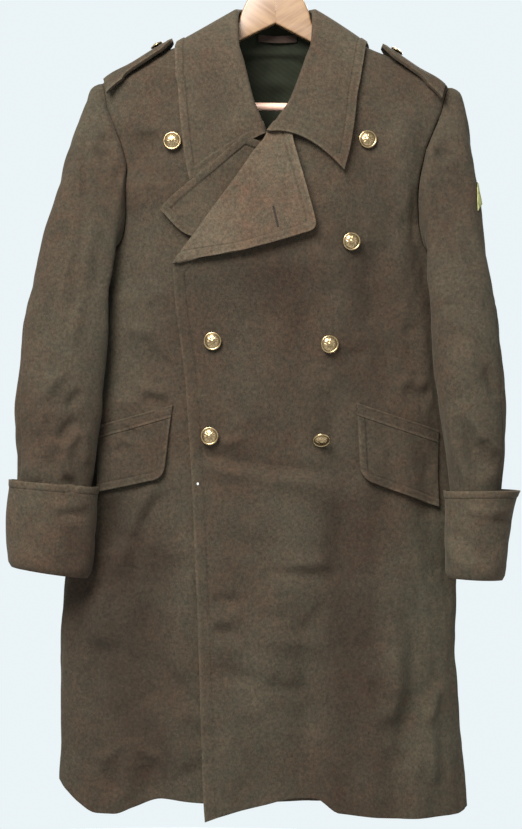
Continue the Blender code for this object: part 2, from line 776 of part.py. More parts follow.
def strip(name, place, columns, rows, thickness, material="wool"):
    """An open grid lifted to place(u, v), the middle of its wall, made solid both ways."""
    shape = bmesh.new()
    bmesh.ops.create_grid(shape, x_segments=columns, y_segments=rows, size=1.0)
    for vertex in shape.verts:
        vertex.co = place(0.5 * (vertex.co.x + 1.0), 0.5 * (vertex.co.y + 1.0))
    return solidified(name, shape, thickness, material, offset=0.0)


def build_collar():
    def place(u, v):
        return collar_point(24.0 * u, stop_at(FOLDED_STOPS, v))

    strip("collar", place, 30, len(FOLDED_STOPS) - 1, DOUBLE_CLOTH)


# The lapels from the gorge to the foot: the line they fold on and their free edge
LAPEL = {
    1: Table("row roll_x roll_z edge_x edge_z edge_lift", [
        (0, -8, -281, 24, -281, 18.5),
        (1, -24, -300, 33, -309, 20),
        (2, -45, -331, 47, -357, 21),
        (2.85, -59.5, -352.3, 57.3, -394.5, 21),
        (3, -62, -356, 58.8, -402, 21),
        (3.15, -64.4, -359.3, 55.5, -409.5, 21),
        (4, -78, -378, 38, -417, 21),
        (5, -96, -404, 2, -429, 22),
        (6, -112, -427, -52, -443.5, 22),
        (7, -125, -445, -95, -450, 19),
        (8, -134, -459, -118, -454, 15),
    ]),
    -1: Table("row roll_x roll_z edge_x edge_z edge_lift", [
        (0, -9, -291, -41, -281.5, 15),
        (1, -3, -303, -80, -315, 12.5),
        (2, 8, -322, -120, -349, 10.5),
        (2.8, 17.6, -340.4, -150.8, -377.2, 8.5),
        (3, 20, -345, -154.5, -382.5, 8),
        (3.2, 23.2, -350.6, -150.5, -387.0, 7.5),
        (4, 36, -373, -116, -418, 5.5),
        (5, 52, -403, -60, -430, 4.0),
        (6, 66, -430, 20, -440, 4.0),
        (7, 76, -450, 62, -448, 4.0),
    ]),
}
# Lift of the panel along the roll, of the crest above it, and radius of the fold
LAPEL_FOLD = {1: (11.0, 3.0, 3.0), -1: (0.0, 1.6, 1.7)}


def lapel_point(side, row, across):
    """Middle of a lapel's wall, from the panel's edge over the roll to the free edge."""
    guide = LAPEL[side]
    panel, rise, radius = LAPEL_FOLD[side]
    roll = Vector((guide.at("roll_x", row), guide.at("roll_z", row)))
    free = Vector((guide.at("edge_x", row), guide.at("edge_z", row)))
    lift = guide.at("edge_lift", row)
    away = (roll - free).normalized()
    start = roll - away * 2.6
    seam = skin_at(start.x, start.y, panel - 1.3)
    crest = skin_at(roll.x, roll.y, panel + rise)
    middle = 0.5 * (roll + free)
    between = skin_at(middle.x, middle.y, 0.5 * (panel + rise + radius + lift) + 0.5)
    edge = skin_at(free.x, free.y, lift)
    normal = outward(angle_at(roll.x, roll.y), roll.y)
    return folded(seam, crest, between, edge, normal, radius, across)


def build_lapels():
    for word, side, last, columns in (("left", 1, 8, 16), ("right", -1, 7, 14)):
        def place(u, v, side=side, last=last):
            return lapel_point(side, last * u, stop_at(FOLDED_STOPS, v))

        strip("lapel_" + word, place, columns, len(FOLDED_STOPS) - 1, DOUBLE_CLOTH - 0.6)


# ---------------------------------------------------------------- pockets

# Top line of each flap and its lower corners, on the front
POCKET = {
    1: ((121.7, -665.3), (237.0, -702.4), (127.0, -752.0), (237.0, -790.4)),
    -1: ((-135.5, -672.0), (-236.0, -702.5), (-145.0, -756.0), (-237.0, -777.6)),
}
WELT_HEIGHT = 18.0
FLAP_CORNER = 15.0


def rounded(across, up, length, radius):
    """Round the inner lower corner of a flap."""
    if across < radius and up < radius:
        away = Vector((across - radius, up - radius))
        reach = max(-away.x, -away.y)
        if away.length > 1e-6:
            away *= reach / away.length
        return radius + away.x, radius + away.y
    return across, up


def pocket_point(side, across, down, lift):
    """Point on the front: across 0..1 along the pocket, down in mm from the flap's top."""
    inner_top, outer_top, inner_low, outer_low = (Vector(corner) for corner in POCKET[side])
    top = inner_top + (outer_top - inner_top) * across
    low = inner_low + (outer_low - inner_low) * across
    spot = top + (low - top) * (down / (low - top).length)
    if side > 0:
        lift += over_lift(spot.x, spot.y)
    return skin_at(spot.x, spot.y, lift)


def build_pockets():
    for word, side in (("left", 1), ("right", -1)):
        corners = [Vector(corner) for corner in POCKET[side]]
        length = (corners[1] - corners[0]).length
        inner_drop = (corners[2] - corners[0]).length
        outer_drop = (corners[3] - corners[1]).length

        def welt(u, v, lift, side=side):
            return pocket_point(side, u, -0.4 - v * WELT_HEIGHT, 3.1 + lift)

        def flap(u, v, lift, side=side):
            drop = inner_drop + u * (outer_drop - inner_drop)
            across, up = rounded(u * length, v * drop, length, FLAP_CORNER)
            stand = 1.0 + 3.5 * (1.0 - up / drop) ** 1.5
            return pocket_point(side, across / length, drop - up, 2.5 + stand + lift)

        flip = side < 0
        cloth("pocket_welt_" + word, mirrored(welt, flip), 8, 1, 2.0)
        cloth("pocket_flap_" + word, mirrored(flap, flip), 8, 5)


def mirrored(place, flip):
    """Run a grid the other way across."""
    def turned(u, v, lift):
        return place(1.0 - u if flip else u, v, lift)
    return place if not flip else turned


# ---------------------------------------------------------------- shoulder straps

STRAP_HALF = 25.0
STRAP_DROP = 13.0           # most that the long edges hang below the middle
STRAP_TAPER = 0.3           # share by which the strap is bent closer at its outer end
STRAP_SLANT = 6.0           # how far its outer corners lie inwards
STRAP_SHIFT = 4.0           # how far its outer end lies forwards
STRAP_CLEAR = 4.5           # from the shoulder to the middle of the strap's wall
STRAP_RISE = 6.7            # how much more its free tip stands off
STRAP = {1: (151.0, 239.5), -1: (144.0, 239.5)}     # tip and outer end


def shoulder_height(x, y):
    """Height of the shoulder above a point of the plan."""
    low, high = -330.0, NECK_POINT_Z
    x, y = abs(x), abs(y)
    for _ in range(40):
        level = 0.5 * (low + high)
        half = BODY.at("left", level)
        depth = BODY.at("front", level)
        inside = x < half and y < depth * (1.0 - (x / half) ** SECTION_POWER) ** (1.0 / SECTION_POWER)
        low, high = (level, high) if inside else (low, level)
    return high


def strap_point(side, along, across, lift=0.0):
    """Middle of a strap's wall: along 0 the free tip to 1 the sleeve seam."""
    tip, end = STRAP[side]
    x = tip + along * (end - tip) - STRAP_SLANT * (along * across) ** 2
    half = STRAP_HALF * min(1.0, 0.45 + 0.55 * math.sqrt(min(1.0, along * (end - tip) / 14.0)))
    y = across * half * (1.0 - STRAP_TAPER * along ** 2) - STRAP_SHIFT * along ** 2
    raised = STRAP_CLEAR + STRAP_RISE * (1.0 - ramp(along, 0.0, 0.75))
    drop = STRAP_DROP * (1.0 + along ** 2) * across ** 2
    crown = shoulder_height(x, 0.0)
    z = max(shoulder_height(x, 0.8 * y), crown - drop) + raised + lift
    return Vector((side * x, y, z))


def build_straps():
    for word, side in (("left", 1), ("right", -1)):
        def place(u, v, side=side):
            return strap_point(side, u if side > 0 else 1.0 - u, 2.0 * v - 1.0)

        strip("shoulder_strap_" + word, place, 8, 4, DOUBLE_CLOTH + 0.4)


# ---------------------------------------------------------------- inside the neck

def back_skin_at(x, z, lift):
    """Point of the back at a distance x from the middle, moved out."""
    return skin(180.0 - angle_at(x, z), z, lift)


LINING_HALF = 120.0
LINING_FOOT = -440.0
LINING_TOP = Table("away z", [
    (0, -103), (28, -105), (36, -110), (48, -128), (60, -142), (75, -152), (90, -160),
    (105, -173), (120, -188),
])
# Inside of the collar's stand, which the lining keeps clear of
STAND_INSIDE = Table("away y", [
    (0, 27.5), (28, 24.5), (40, 20.5), (50, 17), (60, 18), (75, 22), (90, 40),
])


def lining_point(x, z, lift=0.0):
    """Face of the lining towards the back; lift moves it that way."""
    point = back_skin_at(x, min(z + 11.0, -150.0), -CLOTH - 1.8)
    free = STAND_INSIDE.at("y", abs(x)) + 0.9 * max(0.0, -152.0 - z)
    return Vector((x, min(point.y, free) + lift, z))


def build_neck_inside():
    def lining(u, v, lift):
        x = LINING_HALF * (1.0 - 2.0 * u)
        top = LINING_TOP.at("z", abs(x))
        return lining_point(x, top + (1.0 - v) ** 1.5 * (LINING_FOOT - top), lift)

    cloth("back_lining", lining, 14, 10, LINING, "lining")

    def loop(u, v, lift):
        x = 31.0 - 55.0 * u
        bend = math.sin(math.pi * u)
        z = -136.0 - 1.5 * bend + 10.5 * v
        return lining_point(x, z, lift - LINING - 2.0 - 2.5 * bend)

    cloth("hang_loop", loop, 8, 1, 1.6, "loop")


def build_badge():
    def place(u, v, lift):
        return sleeve_point(1, -24.0 + 46.0 * u, 4.05 - 0.45 * (1.0 - v), 2.0 + lift)

    cloth("sleeve_badge", place, 6, 4, 1.2, "badge")


# ---------------------------------------------------------------- buttons

# Half of a button from its rim to the top of the dome: radius and height
BUTTON_PROFILE = [(0.24, -0.22), (0.24, 0.0), (0.88, 0.0), (1.0, 0.12), (0.86, 0.25),
                  (0.78, 0.21), (0.58, 0.37), (0.28, 0.45)]
# Buttons on the fronts: x, z, extra lift and tilt down in degrees
BUTTONS = [
    ("button_left_1", 1, 130.1, -281.5, 0.0, 0.0),
    ("button_left_2", 1, 108.9, -423.9, 0.0, 4.0),
    ("button_left_3", 1, 80.7, -566.6, 0.0, 3.0),
    ("button_left_4", 1, 71.6, -696.5, 6.5, 46.0),
    ("button_right_1", -1, -139.5, -288.4, 2.0, 0.0),
    ("button_over_3", 1, -79.5, -565.0, 0.0, 2.0),
    ("button_over_4", 1, -81.6, -696.1, 0.0, 0.0),
]


def turned(name, radius, base, axis, tilt, steps=14):
    """A turned button standing on a point, its back and shank towards the cloth."""
    shape = bmesh.new()
    rings = []
    for share, height in BUTTON_PROFILE:
        rings.append([shape.verts.new((share * radius * math.cos(math.tau * step / steps),
                                       share * radius * math.sin(math.tau * step / steps),
                                       height * radius)) for step in range(steps)])
    for lower, upper in zip(rings, rings[1:]):
        for step in range(steps):
            other = (step + 1) % steps
            shape.faces.new((lower[step], lower[other], upper[other], upper[step]))
    shape.faces.new(list(reversed(rings[0])))
    shape.faces.new(rings[-1])
    turn = axis.to_track_quat("Z", "Y").to_matrix().to_4x4()
    droop = Matrix.Rotation(math.radians(tilt), 4, "X")
    raise_up = Matrix.Translation((0.0, 0.0, 0.22 * radius))
    bmesh.ops.transform(shape, matrix=Matrix.Translation(base) @ droop @ turn @ raise_up,
                        verts=shape.verts)
    return finish_mesh(name, shape, "brass")


def build_buttons():
    for name, side, x, z, extra, tilt in BUTTONS:
        lift = 1.0 + extra + (over_lift(x, z) if side > 0 else 0.0)
        turned(name, BUTTON_RADIUS, skin_at(x, z, lift), outward(angle_at(x, z), z), tilt)
    for word, side in (("left", 1), ("right", -1)):
        base = strap_point(side, 0.22, 0.0, 0.5 * (DOUBLE_CLOTH + 0.4) + 0.6)
        ahead = strap_point(side, 0.30, 0.0) - strap_point(side, 0.14, 0.0)
        axis = Vector((-ahead.z, 0.0, ahead.x)).normalized()
        if axis.z < 0.0:
            axis = -axis
        turned("strap_button_" + word, STRAP_BUTTON_RADIUS, base, axis, 0.0, steps=10)


# ---------------------------------------------------------------- hanger

HANGER_THICK = 14.0
CROWN_HALF, CROWN_RISE, CROWN_MIDDLE, CROWN_TOP = 53.4, 82.6, -136.7, -54.1
UNDER_APEX, ARM_SLOPE = -114.0, 0.5038
ARM_TOP = [(221.5, -200.0), (214.0, -192.5), (160.0, -164.0), (120.0, -147.0), (80.0, -128.5),
           (60.0, -120.0)]
ARM_FOOT_X, ARM_FOOT_Z, ARM_FOOT_RADIUS = 212.0, -233.0, 10.5
BAR_Z, BAR_RADIUS = -231.2, 5.9
EDGE_ROUND = 2.5


def hanger_outline():
    """Outline of the half at +X, anticlockwise seen from the front."""
    inner = ARM_FOOT_X - ARM_FOOT_RADIUS
    points = [(SEAM_GAP / 2.0, UNDER_APEX), (120.0, UNDER_APEX - ARM_SLOPE * 120.0),
              (inner - 4.0, UNDER_APEX - ARM_SLOPE * (inner - 4.0)), (inner, -220.0)]
    for step in range(6):
        bend = math.radians(-180.0 + 36.0 * step)
        points.append((ARM_FOOT_X + ARM_FOOT_RADIUS * math.cos(bend),
                       ARM_FOOT_Z + ARM_FOOT_RADIUS * math.sin(bend)))
    points += ARM_TOP
    start = math.radians(16.5)
    for step in range(9):
        bend = start + (math.pi / 2.0 - 0.004 - start) * step / 8.0
        points.append((max(SEAM_GAP / 2.0, CROWN_HALF * math.cos(bend)),
                       CROWN_MIDDLE + CROWN_RISE * math.sin(bend)))
    return points


def build_hanger():
    for word, side in (("left", 1), ("right", -1)):
        shape = bmesh.new()
        front = [shape.verts.new((side * x, -0.5 * HANGER_THICK, z)) for x, z in hanger_outline()]
        face = shape.faces.new(front if side > 0 else list(reversed(front)))
        new = bmesh.ops.extrude_face_region(shape, geom=[face], use_keep_orig=True)
        moved = [part for part in new["geom"] if isinstance(part, bmesh.types.BMVert)]
        bmesh.ops.translate(shape, vec=(0.0, HANGER_THICK, 0.0), verts=moved)
        bmesh.ops.recalc_face_normals(shape, faces=shape.faces)
        half = finish_mesh("hanger_half_" + word, shape, "beech")
        bevel = half.modifiers.new("Eased edges", "BEVEL")
        bevel.width = EDGE_ROUND * MM
        bevel.segments = 1
        bevel.limit_method = "ANGLE"
        bevel.angle_limit = math.radians(60.0)

    shape = bmesh.new()
    length = 2.0 * (ARM_FOOT_X - ARM_FOOT_RADIUS - SEAM_GAP)
    bmesh.ops.create_cone(shape, cap_ends=True, segments=20, radius1=BAR_RADIUS,
                          radius2=BAR_RADIUS, depth=length)
    bmesh.ops.rotate(shape, cent=(0, 0, 0), matrix=Matrix.Rotation(math.pi / 2.0, 3, "Y"),
                     verts=shape.verts)
    bmesh.ops.translate(shape, vec=(0.0, 0.0, BAR_Z), verts=shape.verts)
    finish_mesh("hanger_bar", shape, "dowel")


HOOK_WIRE = 2.0
HOOK_BEND = 22.0            # radius of the bend to the middle of the wire
HOOK_SHANK = [(0.0, -53.7), (0.0, -50.0), (0.6, -46.6), (3.0, -43.4), (8.0, -40.4)]
HOOK_START, HOOK_SWEEP, HOOK_STEPS = -52.0, 271.0, 13
WIRE_SIDES = 10


def build_hook():
    """Wire hook: a shank that bends into an open round hook, inside top at the origin."""
    route = [Vector((x, 0.0, z)) for x, z in HOOK_SHANK]
    for step in range(HOOK_STEPS):
        bend = math.radians(HOOK_START + HOOK_SWEEP * step / (HOOK_STEPS - 1))
        route.append(Vector((HOOK_BEND * math.cos(bend), 0.0,
                             HOOK_WIRE - HOOK_BEND + HOOK_BEND * math.sin(bend))))
    shape = bmesh.new()
    rings = []
    for index, point in enumerate(route):
        ahead = route[min(index + 1, len(route) - 1)] - route[max(index - 1, 0)]
        aside = ahead.normalized().cross(Vector((0.0, 1.0, 0.0)))
        rings.append([shape.verts.new(point + HOOK_WIRE * (
            aside * math.cos(math.tau * side / WIRE_SIDES)
            + Vector((0.0, math.sin(math.tau * side / WIRE_SIDES), 0.0))))
            for side in range(WIRE_SIDES)])
    for lower, upper in zip(rings, rings[1:]):
        for side in range(WIRE_SIDES):
            other = (side + 1) % WIRE_SIDES
            shape.faces.new((lower[side], lower[other], upper[other], upper[side]))
    shape.faces.new(list(reversed(rings[0])))
    shape.faces.new(rings[-1])
    bmesh.ops.recalc_face_normals(shape, faces=shape.faces)
    finish_mesh("hanger_hook", shape, "steel")


def main():
    for thing in list(bpy.data.objects):
        bpy.data.objects.remove(thing, do_unlink=True)
    build_fronts()
    build_back()
    build_sleeves()
    build_cuffs()
    build_collar()
    build_lapels()
    build_pockets()
    build_straps()
    build_neck_inside()
    build_badge()
    build_buttons()
    build_hanger()
    build_hook()


main()
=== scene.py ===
"""Looks of a double-breasted military greatcoat hanging on its wooden hanger.

Each piece of cloth is a thin shell on the form of its CAD solid. The form is made
again from the same tables with finer rows, and gets creases, seams and stitched
margins. Tables and form functions use millimetres, Blender objects metres.
"""
import math

import bmesh
import bpy
import numpy as np
from mathutils import Matrix, Vector


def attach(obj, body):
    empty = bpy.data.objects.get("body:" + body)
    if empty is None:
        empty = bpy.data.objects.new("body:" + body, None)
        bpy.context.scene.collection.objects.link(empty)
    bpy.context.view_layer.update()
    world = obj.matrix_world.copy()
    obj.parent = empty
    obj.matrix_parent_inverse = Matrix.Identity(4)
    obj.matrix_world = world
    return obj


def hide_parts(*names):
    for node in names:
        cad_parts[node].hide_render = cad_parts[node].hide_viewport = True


bl_info = {
    "name": "Greatcoat on a hanger",
    "version": (1, 0, 0),
    "blender": (4, 5, 0),
    "location": "View3D > Sidebar > Greatcoat",
    "description": "Cloth, buttons, hanger and studio of a woollen greatcoat",
    "category": "Object",
}

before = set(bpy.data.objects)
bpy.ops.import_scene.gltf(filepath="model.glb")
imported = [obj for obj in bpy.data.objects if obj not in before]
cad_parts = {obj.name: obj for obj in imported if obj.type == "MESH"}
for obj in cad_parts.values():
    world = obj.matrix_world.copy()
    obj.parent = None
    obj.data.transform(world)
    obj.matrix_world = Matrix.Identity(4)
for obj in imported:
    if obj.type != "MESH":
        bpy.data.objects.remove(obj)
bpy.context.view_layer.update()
MM = 0.001

# Walls of the cloth
CLOTH = 2.5
DOUBLE_CLOTH = 3.2
LINING = 1.2

SECTION_POWER = 2.05        # roundness of the level sections, 2 is an ellipse
SIDE_SEAM = 95.0            # angle of the side seams
NECK_POINT_Z = -114.0
SHOULDER_POINT_Z = -200.0
UNDERARM_Z = -450.0
BUTTON_RADIUS = 12.7
STRAP_BUTTON_RADIUS = 9.5


def number_rows(text):
    """Rows of numbers, one from each line of a text."""
    return [[float(word) for word in line.split()] for line in text.strip().splitlines()]


class Table:
    """Rows of numbers under the names of their columns, read along the first column."""

    def __init__(self, text):
        names, rows = text.strip().split("\n", 1)
        columns = np.array(sorted(number_rows(rows))).T
        self.key = columns[0]
        self.column = {name: (values, self.slopes(values))
                       for name, values in zip(names.split()[1:], columns[1:])}

    def slopes(self, values):
        """Slopes at the rows that never overshoot between them."""
        steps = np.diff(values) / np.diff(self.key)
        slopes = np.zeros(len(values))
        slopes[0] = steps[0]
        slopes[-1] = steps[-1]
        for index in range(1, len(values) - 1):
            before, after = steps[index - 1], steps[index]
            if before * after > 0.0:
                slopes[index] = 2.0 * before * after / (before + after)
        return slopes

    def at(self, name, key):
        """Values of a column at keys, held at the ends."""
        values, slopes = self.column[name]
        key = np.clip(key, self.key[0], self.key[-1])
        index = np.clip(np.searchsorted(self.key, key) - 1, 0, len(values) - 2)
        span = self.key[index + 1] - self.key[index]
        t = (key - self.key[index]) / span
        rise = values[index + 1] - values[index]
        start = slopes[index] * span
        end = slopes[index + 1] * span
        return values[index] + t * (start + t * ((3 * rise - 2 * start - end)
                                                 + t * (start + end - 2 * rise)))


# Level sections of the body. Above the shoulder point the half widths are those
# of the ridge of the shoulders, so the sections close on the shoulder seam.
BODY = Table("""
z right left front back
-114 66 66 18 20
-129.5 96 96 27 29
-144.5 128 128 33 35
-157.5 160 160 37 39
-178 200 200 42 44
-200 243 243 45 48
-209 248 248 46 49
-225 253 253 47 50
-240 256 256 49 51
-300 254 254 54 54
-340 249 249 56 55
-380 241 241 58 55
-420 234 234 59 55
-450 232 231 60 55
-500 234 233 60 54
-550 237 238 60 53
-600 240 243 60 52
-650 246 250 60 51
-700 253 256 60 51
-760 261 261 61 53
-815 268 266 62 54
-896 283 267 64 57
-980 290 266 66 60
-1070 288 273 69 63
-1135 288 280 71 65
-1230 288 290 73 68
""")

# Armhole seams on the body, front and back
ARMHOLE = Table("""
z front back
-200 90 90
-208 77 78
-225 69.5 71
-267 60 63
-305 55.5 59
-330 54.5 58.5
-380 58.5 61
-420 65 67
-443 77 79
-450 95 85
""")

# Neck seam from the gorge up to the neck point, on the fronts
NECK_FRONT = Table("""
z over under
-268 3.2 5.6
-246 6.4 7.2
-228 8.6 9.1
-200 10.7 10.9
-178 14.5 14.5
-165 18 18
-144 28 28
-128 43 43
-118 65 65
-114 90 90
""")

# Neck seam of the back, from the middle out to the neck point
NECK_BACK = Table("""
share angle z
0 180 -142
0.35 167 -140
0.65 152 -134
0.85 128 -122
1 90 -114
""")

# Free edges of the fronts from the hem to the gorge, just inside the lapels' roll
OVER_EDGE = Table("""
z x
-1227 -79.5
-1197 -82
-923 -96
-647 -114
-464 -134.5
-452 -122.5
-431 -106.7
-382 -72.7
-335 -39.7
-281 -2.7
-268 14
""")

UNDER_EDGE = Table("""
z x
-1205 80
-640 82
-466 80
-453 70.3
-406 46.3
-348 14.3
-287 -18.4
-268 -24.5
""")

# Where the rows of the upper fronts start: 1 is the underarm, 2 the shoulder seam
UPPER_ROWS = Table("""
row inner
1 -464
1.1 -437
1.2 -402
1.3 -362
1.4 -320
1.5 -281
1.6 -267
1.7 -236
1.8 -196
1.9 -146
1.95 -126
2 -114
""")

# Height of the hem round the coat
OVER_HEM = Table("""
angle z
-15.5 -1227
-12 -1220
-1 -1204
9 -1193
13.7 -1193
20.5 -1213
45 -1222
69 -1219
79 -1213
95 -1205
""")

UNDER_HEM = Table("""
angle z
-95 -1178
-84 -1182
-72.5 -1194
-61.5 -1210
-52 -1221
-45 -1221
-38 -1211
-28.7 -1198
-16 -1202
0 -1199
17 -1196
""")

BACK_HEM = Table("""
angle z
95 -1205
130 -1200
180 -1196
230 -1190
265 -1178
""")

# Largest folds: the front (1) or back (-1), a straight run from x, z to x, z, its half
# width and its height, negative for a hollow
FOLDS = number_rows("""
1 -215 -880 -228 -1215 34 7
1 -165 -820 -150 -1200 26 -5
1 -112 -1040 -112 -1205 18 4
1 -40 -980 -62 -1225 26 5
1 58 -900 55 -1195 30 -6.5
1 128 -860 150 -1215 34 6
1 212 -1000 214 -1220 20 7
1 180 -1010 184 -1210 18 -4
1 -150 -700 -95 -850 26 -3.5
1 150 -480 175 -640 34 -3
1 -60 -560 70 -575 26 -2.5
1 -150 -540 -175 -660 30 -3
-1 -175 -760 -195 -1200 32 6
-1 -95 -640 -110 -1200 34 -5
-1 -15 -560 -22 -1200 32 5
-1 75 -700 88 -1200 30 -5
-1 160 -620 178 -1205 34 6
-1 0 -250 5 -470 36 -3
""")

# Rings of a sleeve from near the armhole (2) to the wrist (10). Each ring runs
# from an outer to an inner point; y is its middle, depth its half depth, bow and
# lean shift its front and inner parts, and twist turns it forwards.
SLEEVE = {
    1: Table("""
ring outer_x outer_z inner_x inner_z bow y depth lean twist
2 272 -246 238 -466 29 -4 41 5 2
3 281 -300 234 -484 27 -11 40 9 5
4 289 -363 229 -508 17 -23 42 13 10
5 304 -458 224 -550 4 -38 42 8 18
6 317 -545 228 -605 0 -48 42 3 24
7 327 -640 239 -672 0 -52 40 0 24
8 327 -705 245 -722 0 -53 38 0 24
9 322 -765 250 -768 0 -54 36 0 24
10 320 -874 255 -872 0 -55 35 0 24
11 320 -892 255 -890 0 -55 35 0 24
"""),
    -1: Table("""
ring outer_x outer_z inner_x inner_z bow y depth lean twist
2 270 -246 238 -466 28 -4 41 6 2
3 289 -303 234 -484 24 -11 40 12 5
4 309 -379 230 -508 15 -21 38 14 9
5 331 -475 226 -550 4 -33 36 9 15
6 346 -570 228 -602 0 -43 35 3 20
7 351 -645 231 -652 0 -49 34 0 20
8 351 -705 238 -712 0 -52 33 0 20
9 350 -762 243 -770 0 -54 32 0 20
10 352 -866 251 -880 0 -55 31 0 20
11 352 -884 251 -898 0 -55 31 0 20
"""),
}

FORE_SEAM = 162.0           # turn of the front seam of the sleeves

HIND_SEAM = (-36.0, 8.0)    # turn of the hind seam at the head and at the wrist

# How far a sleeve keeps from the body it hangs against
SLEEVE_CLEAR = Table("""
z gap
-900 15
-775 16
-750 10
-660 9
-600 3.5
-480 2.5
-440 1
""")

# Profile of a turned-back cuff: ring of the sleeve and how far it stands off
CUFF_PROFILE = Table("""
row ring lift
0 10.07 -1
1 10.22 0.8
2 10.24 3.2
3 10.10 5.2
4 9.80 6.2
5 9.40 7.2
6 8.98 8.2
""")

# Turn where the top edge of a cuff stands off most, and how far
CUFF_FLARE = {1: (-20.0, 15.0), -1: (140.0, 3.0)}

# Guides of the folded collar from the gorge to the middle of the back: the neck
# seam it rises from, the top of its roll, and the edge of its fall.
COLLAR = {
    1: Table("""
row seam_angle seam_z roll_x roll_y roll_z edge_angle edge_z edge_lift rise
0 3.4 -266 -8 -70 -275.5 22 -326.5 5.4 16
1 6 -249 8 -69 -253 23.5 -298 6.6 6
2 8.5 -227 22 -63 -231 24.7 -266 7 2
3 10.6 -199 35 -53 -196 25.9 -229 6 0
4 14.4 -177 44 -43 -168 28.5 -200 4.8 0
5 18 -164 51 -35 -147 37.8 -176 4.5 0
6 28 -143 52.5 -25 -125 50 -158 4.5 0
7 45 -126 53 -14 -105 66.6 -148 4.5 0
8 90 -113 53 0 -95 90 -144 4.5 0
9 128 -121 50 16 -92 118 -152 4.5 0
10 152 -132 38 30 -90 143 -166 4.5 0
11 167 -136 20 38 -89 162 -176 5 0
12 180 -137 0 41 -89 180 -180 5 0
"""),
    -1: Table("""
row seam_angle seam_z roll_x roll_y roll_z edge_angle edge_z edge_lift rise
0 5 -268 12 -56.5 -277 27 -343 3.8 5
1 6.5 -249 19 -57.5 -255 28 -318 3.8 2
2 8.8 -227 28.5 -56 -233 29 -285 3.8 0
3 10.6 -199 37 -53 -203 30.3 -240 4 0
4 14.4 -177 44.5 -49 -174 32.7 -205 4.5 0
5 18 -164 51.5 -39 -149 42.9 -178 4.5 0
6 28 -143 53 -27 -127 56.5 -160 4.5 0
7 45 -126 53.5 -14 -107 71 -151 4.5 0
8 90 -113 53 0 -97 90 -147 4.5 0
9 128 -121 50 16 -93 116 -154 4.5 0
10 152 -132 38 30 -90.5 142 -166 4.5 0
11 167 -136 20 38 -89 162 -176 5 0
12 180 -137 0 41 -89 180 -180 5 0
"""),
}

# Share of a folded section up to the fold, and up to the end of its half round
FOLD_START, FOLD_END = 0.2, 0.4

COLLAR_BULGE = {1: 2.8, -1: 1.5}

COLLAR_SEAM = 3.4           # from the panels' edge to the first row of the collar

COLLAR_FOLD = 3.0           # radius of the collar's roll, to the middle of its wall

# The lapels from the gorge to the foot: the line they fold on and their free edge
LAPEL = {
    1: Table("""
row roll_x roll_z edge_x edge_z edge_lift
0 -8 -281 24 -281 18.5
1 -24 -300 33 -309 20
2 -45 -331 47 -357 21
2.85 -59.5 -352.3 57.3 -394.5 21
3 -62 -356 58.8 -402 21
3.15 -64.4 -359.3 55.5 -409.5 21
4 -78 -378 38 -417 21
5 -96 -404 2 -429 22
6 -112 -427 -52 -443.5 22
7 -125 -445 -95 -450 19
8 -134 -459 -118 -454 15
"""),
    -1: Table("""
row roll_x roll_z edge_x edge_z edge_lift
0 -9 -291 -41 -281.5 15
1 -3 -303 -80 -315 12.5
2 8 -322 -120 -349 10.5
2.8 17.6 -340.4 -150.8 -377.2 8.5
3 20 -345 -154.5 -382.5 8
3.2 23.2 -350.6 -150.5 -387 7.5
4 36 -373 -116 -418 5.5
5 52 -403 -60 -430 4
6 66 -430 20 -440 4
7 76 -450 62 -448 4
"""),
}

# Lift of the panel along the roll, of the crest above it, and radius of the fold
LAPEL_FOLD = {1: (11.0, 3.0, 3.0), -1: (0.0, 1.6, 1.7)}

# Top line of each flap and its lower corners, on the front
POCKET = {
    1: ((121.7, -665.3), (237.0, -702.4), (127.0, -752.0), (237.0, -790.4)),
    -1: ((-135.5, -672.0), (-236.0, -702.5), (-145.0, -756.0), (-237.0, -777.6)),
}

WELT_HEIGHT = 18.0

FLAP_CORNER = 15.0

STRAP_HALF = 25.0

STRAP_DROP = 13.0           # most that the long edges hang below the middle

STRAP_SLANT = 6.0           # how far its outer corners lie inwards

STRAP_CLEAR = 4.5           # from the shoulder to the middle of the strap's wall

STRAP_RISE = 6.7            # how much more its free tip stands off

STRAP = {1: (151.0, 239.5), -1: (144.0, 239.5)}     # tip and outer end

LINING_HALF = 120.0

LINING_FOOT = -440.0

LINING_TOP = Table("""
away z
0 -103
28 -105
36 -110
48 -128
60 -142
75 -152
90 -160
105 -173
120 -188
""")

# Inside of the collar's stand, which the lining keeps clear of
STAND_INSIDE = Table("""
away y
0 27.5
28 24.5
40 20.5
50 17
60 18
75 22
90 40
""")

# Buttons on the fronts: x, z, extra lift and tilt down in degrees
BUTTONS = [
    ("button_left_1", 1, 130.1, -281.5, 0.0, 0.0),
    ("button_left_2", 1, 108.9, -423.9, 0.0, 4.0),
    ("button_left_3", 1, 80.7, -566.6, 0.0, 3.0),
    ("button_left_4", 1, 71.6, -696.5, 6.5, 46.0),
    ("button_right_1", -1, -139.5, -288.4, 2.0, 0.0),
    ("button_over_3", 1, -79.5, -565.0, 0.0, 2.0),
    ("button_over_4", 1, -81.6, -696.1, 0.0, 0.0),
]

HANGER_THICK = 14.0

CROWN_HALF, CROWN_RISE, CROWN_MIDDLE = 53.4, 82.6, -136.7

UNDER_APEX, ARM_SLOPE = -114.0, 0.5038

ARM_TOP = [(221.5, -200.0), (214.0, -192.5), (160.0, -164.0), (120.0, -147.0), (80.0, -128.5),
           (60.0, -120.0)]

ARM_FOOT_X, ARM_FOOT_Z, ARM_FOOT_RADIUS = 212.0, -233.0, 10.5

EDGE_ROUND = 2.5

